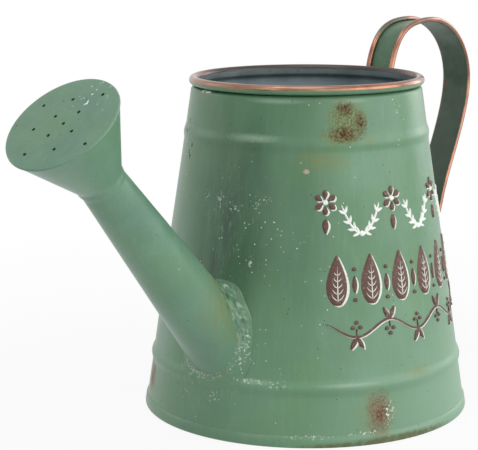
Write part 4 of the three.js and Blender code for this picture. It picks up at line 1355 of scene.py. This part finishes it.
def leaning(degrees):
    """A direction in the handle's plane, from its angle from upright."""
    return at(math.sin(math.radians(degrees)), math.cos(math.radians(degrees)))


def bend_between(first, first_way, first_hold, second, second_way, second_hold, steps=26):
    """A curve between two places. A hold is how far it keeps each end's way, as a share of the span."""
    span = (second - first).length
    leave = first + first_way * first_hold * span
    arrive = second - second_way * second_hold * span
    return interpolate_bezier(first, leave, arrive, second, steps)


def handle_line():
    """The line of the edge wires, from the lower tab over the top to the upper tab."""
    tab_top = LOWER_TAB[0] + LOWER_TAB[1]
    low = at(wall_radius(LOWER_TAB[0]) + TAB_INSET + ROLL_RADIUS, LOWER_TAB[0])
    off = at(wall_radius(tab_top) + TAB_INSET + ROLL_RADIUS, tab_top)
    heel = at(HANDLE_X + 62.1 * MM, 105 * MM)
    grip = at(HANDLE_X + 93.9 * MM, 184 * MM)
    crown = at(HANDLE_X + 44 * MM, RIM_HEIGHT + CURL_RADIUS + SHEET / 2 + 26.6 * MM)
    rise = at(HANDLE_X, RIM_HEIGHT + CURL_RADIUS + SHEET / 2)
    bead = at(wall_radius(UPPER_BEAD["height"]) + TAB_INSET - ROLL_RADIUS, UPPER_BEAD["height"])
    end = at(wall_radius(UPPER_TAB[0]) + TAB_INSET - ROLL_RADIUS, UPPER_TAB[0])
    up_wall, down_wall = (off - low).normalized(), (end - bead).normalized()
    up, back, down_rise = leaning(0), leaning(-90), -leaning(17)
    stretches = [
        [low.lerp(off, i / 5) for i in range(6)],
        bend_between(off, up_wall, 0.2, heel, leaning(17.5), 0.6),
        bend_between(heel, leaning(17.5), 0.29, grip, up, 0.29),
        bend_between(grip, up, 0.34, crown, back, 0.44),
        bend_between(crown, back, 0.44, rise, down_rise, 0.46),
        bend_between(rise, down_rise, 0.46, bead, down_wall, 0.3, steps=18),
        [bead.lerp(end, i / 5) for i in range(6)],
    ]
    line = [stretches[0][0]]
    for stretch in stretches:
        line += stretch[1:]
    return line


LINE = handle_line()
print(f"handle line: {len(LINE)} points, top at {max(p.z for p in LINE) / MM:.1f} mm")

# %% Section of the strap
ROLL_END = 195
FLAT_HALF = ROLL_OFFSET - ROLL_RADIUS - SHEET


def strap_section():
    """Half of the section as (across, outward) pairs, from its middle to the end of the roll."""
    flat = [(FLAT_HALF * i / 4, -ROLL_RADIUS) for i in range(5)]
    roll = [
        (ROLL_OFFSET + ROLL_RADIUS * math.cos(a), ROLL_RADIUS * math.sin(a))
        for a in [math.radians(-90 + (90 + ROLL_END) * i / 14) for i in range(15)]
    ]
    return [*flat, (ROLL_OFFSET - 0.7 * MM, -ROLL_RADIUS), *roll]


def place_on_line(index):
    """The matrix that carries the section, drawn in the XY plane, to a place on the handle's line."""
    before, after = LINE[max(index - 1, 0)], LINE[min(index + 1, len(LINE) - 1)]
    along = (after - before).normalized()
    across = Vector((0, 1, 0))
    outward = at(along.z, -along.x)
    turned = Matrix((across, outward, along)).transposed().to_4x4()
    return Matrix.Translation(LINE[index]) @ turned


FLAT_POINTS = 6
half = strap_section()
section = [(-a, o) for a, o in reversed(half[1:])] + half
ROLL_POINTS = len(half) - FLAT_POINTS
print("strap section:", len(section), "points")

# %% Handle strap
strap = bmesh.new()
rolled = strap.verts.layers.float.new("rolled")
for number, vert in enumerate(profile(strap, [Vector((a, o, 0)) for a, o in section])):
    step = abs(number - (len(half) - 1)) - FLAT_POINTS
    vert[rolled] = min(max(step / ROLL_POINTS * 5, 0), 1)
move(strap, place_on_line(0))
edges = strap.edges[:]
for index in range(1, len(LINE)):
    if LINE[index].x < RIM_EDGE + 20 * MM and LINE[index].z < ROLLS_STOP and index > len(LINE) / 2:
        edges = [e for e in edges if all(abs(v.co.y) <= FLAT_HALF + MERGED for v in e.verts)]
    made = bmesh.ops.extrude_edge_only(strap, edges=edges)["geom"]
    step = place_on_line(index) @ place_on_line(index - 1).inverted()
    new_verts = [g for g in made if isinstance(g, bmesh.types.BMVert)]
    bmesh.ops.transform(strap, matrix=step, verts=new_verts)
    new_set = set(new_verts)
    edges = [g for g in made if isinstance(g, bmesh.types.BMEdge) and set(g.verts) <= new_set]
bmesh.ops.recalc_face_normals(strap, faces=strap.faces[:])
crown = max(strap.faces, key=lambda f: f.calc_center_median().z - abs(f.calc_center_median().y))
if crown.normal.z < 0:
    bmesh.ops.reverse_faces(strap, faces=strap.faces[:])
piece(
    "handle_strap_piece", strap, [STRAP_ENAMEL, HANDLE_ENAMEL], ["handle_strap"],
    thickness=SHEET,
)

# %% [markdown]
# ## Rivets
# Two rivets hold each end of the strap. A rivet is a shank with a domed head at each end, so half of
# its outline is drawn and spun. It is then stood square to the wall.

# %% Rivets
RIVET_SIDES = 40
RIVET_SHANK = 1.6 * MM
RIVET_HEAD = 3.2 * MM
HEAD_HEIGHT = 1.5 * MM


def rivet(name, height, stand):
    """A rivet through wall and strap at a height. Stand is from the wall's outside to the strap's outside."""
    inside, outside = -SHEET - GAP, stand + GAP
    curve = (RIVET_HEAD ** 2 + HEAD_HEIGHT ** 2) / (2 * HEAD_HEIGHT)
    steps = [math.asin(RIVET_HEAD / curve) * i / 6 for i in range(7)]
    domed = [(curve * math.sin(a), curve * math.cos(a) - curve + HEAD_HEIGHT) for a in steps]
    outer = [at(r, outside + h) for r, h in domed]
    inner_head = [at(r, inside - h) for r, h in reversed(domed)]
    shank = [at(RIVET_SHANK, outside), at(RIVET_SHANK, inside)]
    bm = bmesh.new()
    profile(bm, [*outer, *shank, *inner_head])
    turn(bm, RIVET_SIDES)
    bmesh.ops.recalc_face_normals(bm, faces=bm.faces[:])
    upright = Matrix.Rotation(math.pi / 2 - WALL_LEAN, 4, "Y")
    spot = Matrix.Translation(at(wall_radius(height), height))
    move(bm, spot @ upright)
    piece(name + "_piece", bm, [RIVET_STEEL], [name])


for name, low in (("handle_rivet_upper", UPPER_TAB[0]), ("handle_rivet_lower", LOWER_TAB[0])):
    for number, up in ((1, 13.1 * MM), (2, 4.6 * MM)):
        height = low + up
        if "upper" in name:
            share = up / UPPER_TAB[1]
            level = wall_radius(low) + (wall_radius(UPPER_BEAD["height"]) - wall_radius(low)) * share
        else:
            level = wall_radius(height)
        stand = (level + TAB_INSET - wall_radius(height)) * math.cos(WALL_LEAN) + SHEET / 2
        rivet(f"{name}_{number}", height, stand)

# %% [markdown]
# ## Wires
# The wires are drawn steel rods that the sheet is rolled over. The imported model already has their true
# shape, and only the cut ends show, so they stay and get their steel.

# %% Wires
for name in ("rim_wire", "handle_edge_wire_left", "handle_edge_wire_right"):
    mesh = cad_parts[name].data
    mesh.materials.clear()
    mesh.materials.append(WIRE_STEEL)
    print(name, "is", WIRE_STEEL.name)

# %% [markdown]
# ## Floor, world and lights
# The can stands on a pale floor in soft studio light. The world is white to the camera and to
# reflections, and dimmer as a lamp. A large key light stands to the right of the camera, so the tank is
# brightest on its right.

# %% Floor
FLOOR_RADIUS = 4
WHITE_LIGHT = (1, 1, 1, 1)

# Matt studio paper: it shows only the can's soft shadow, and white in reflections.
FLOOR, tree, place = new_material("pale_studio_floor")
fade = by_distance(tree, place, (0, 0, 0), 0.2, 0.6, 0.9, 1.0)
ray = add(tree, "ShaderNodeLightPath")
seen = where_any(tree, ray.outputs["Is Camera Ray"], ray.outputs["Is Glossy Ray"])
matt = add(tree, "ShaderNodeBsdfDiffuse", {"Color": (0.8, 0.8, 0.8, 1)})
white = add(tree, "ShaderNodeEmission", {"Color": WHITE_LIGHT, "Strength": 1.0})
whitened = where_all(tree, fade, seen)
shader = add(tree, "ShaderNodeMixShader", {0: whitened, 1: matt, 2: white})
add(tree, "ShaderNodeOutputMaterial", {0: shader})

floor_bm = bmesh.new()
bmesh.ops.create_circle(floor_bm, cap_ends=True, segments=96, radius=FLOOR_RADIUS)
floor = as_object("floor", floor_bm, [FLOOR])
print("floor is", 2 * FLOOR_RADIUS, "m across")

# %% World
AMBIENT = 0.36

world = bpy.data.worlds.new("studio")
world.use_nodes = True
bpy.context.scene.world = world
tree = world.node_tree
tree.nodes.clear()
ray = add(tree, "ShaderNodeLightPath")
rays = [ray.outputs[f"Is {kind} Ray"] for kind in ("Camera", "Glossy", "Transmission")]
level = add(tree, "ShaderNodeMapRange", {0: where_any(tree, *rays), 3: AMBIENT, 4: 1.0})
sky = add(tree, "ShaderNodeBackground", {"Color": WHITE_LIGHT, "Strength": level})
add(tree, "ShaderNodeOutputWorld", {0: sky})
print("the world lights with a strength of", AMBIENT)

# %% Lights
LAMP_DISTANCE = 1.6
CAN_MIDDLE = Vector((0, 0, 0.1))
# A lamp: azimuth and elevation in degrees, width and height in metres, and watts.
LAMPS = {
    "overhead": (-80, 78, 1.0, 1.0, 7),
    "key_left": (-25, 20, 1.16, 1.2, 5),
    "key_right": (20, 20, 1.5, 1.2, 10.8),
    "side": (75, 15, 0.8, 0.8, 4.5),
    "bead_light": (-92, 32, 0.35, 0.5, 1.6),
    "back": (-160, 22, 0.8, 0.8, 1.5),
}


def softbox(name, azimuth, elevation, width, height, watts):
    """An area light that looks at the middle of the can from an azimuth and elevation in degrees."""
    azimuth, elevation = math.radians(azimuth), math.radians(elevation)
    data = bpy.data.lights.new(name, "AREA")
    data.shape = "RECTANGLE"
    data.size = width
    data.size_y = height
    data.energy = watts
    lamp = bpy.data.objects.new(name, data)
    level = Vector((math.sin(azimuth), -math.cos(azimuth), 0))
    back = level * math.cos(elevation) + Vector((0, 0, math.sin(elevation)))
    lamp.location = CAN_MIDDLE + back * LAMP_DISTANCE
    lamp.rotation_euler = back.to_track_quat("Z", "Y").to_euler()
    bpy.context.collection.objects.link(lamp)


for name, settings in LAMPS.items():
    softbox(name, *settings)
bpy.context.scene.view_settings.view_transform = "Standard"
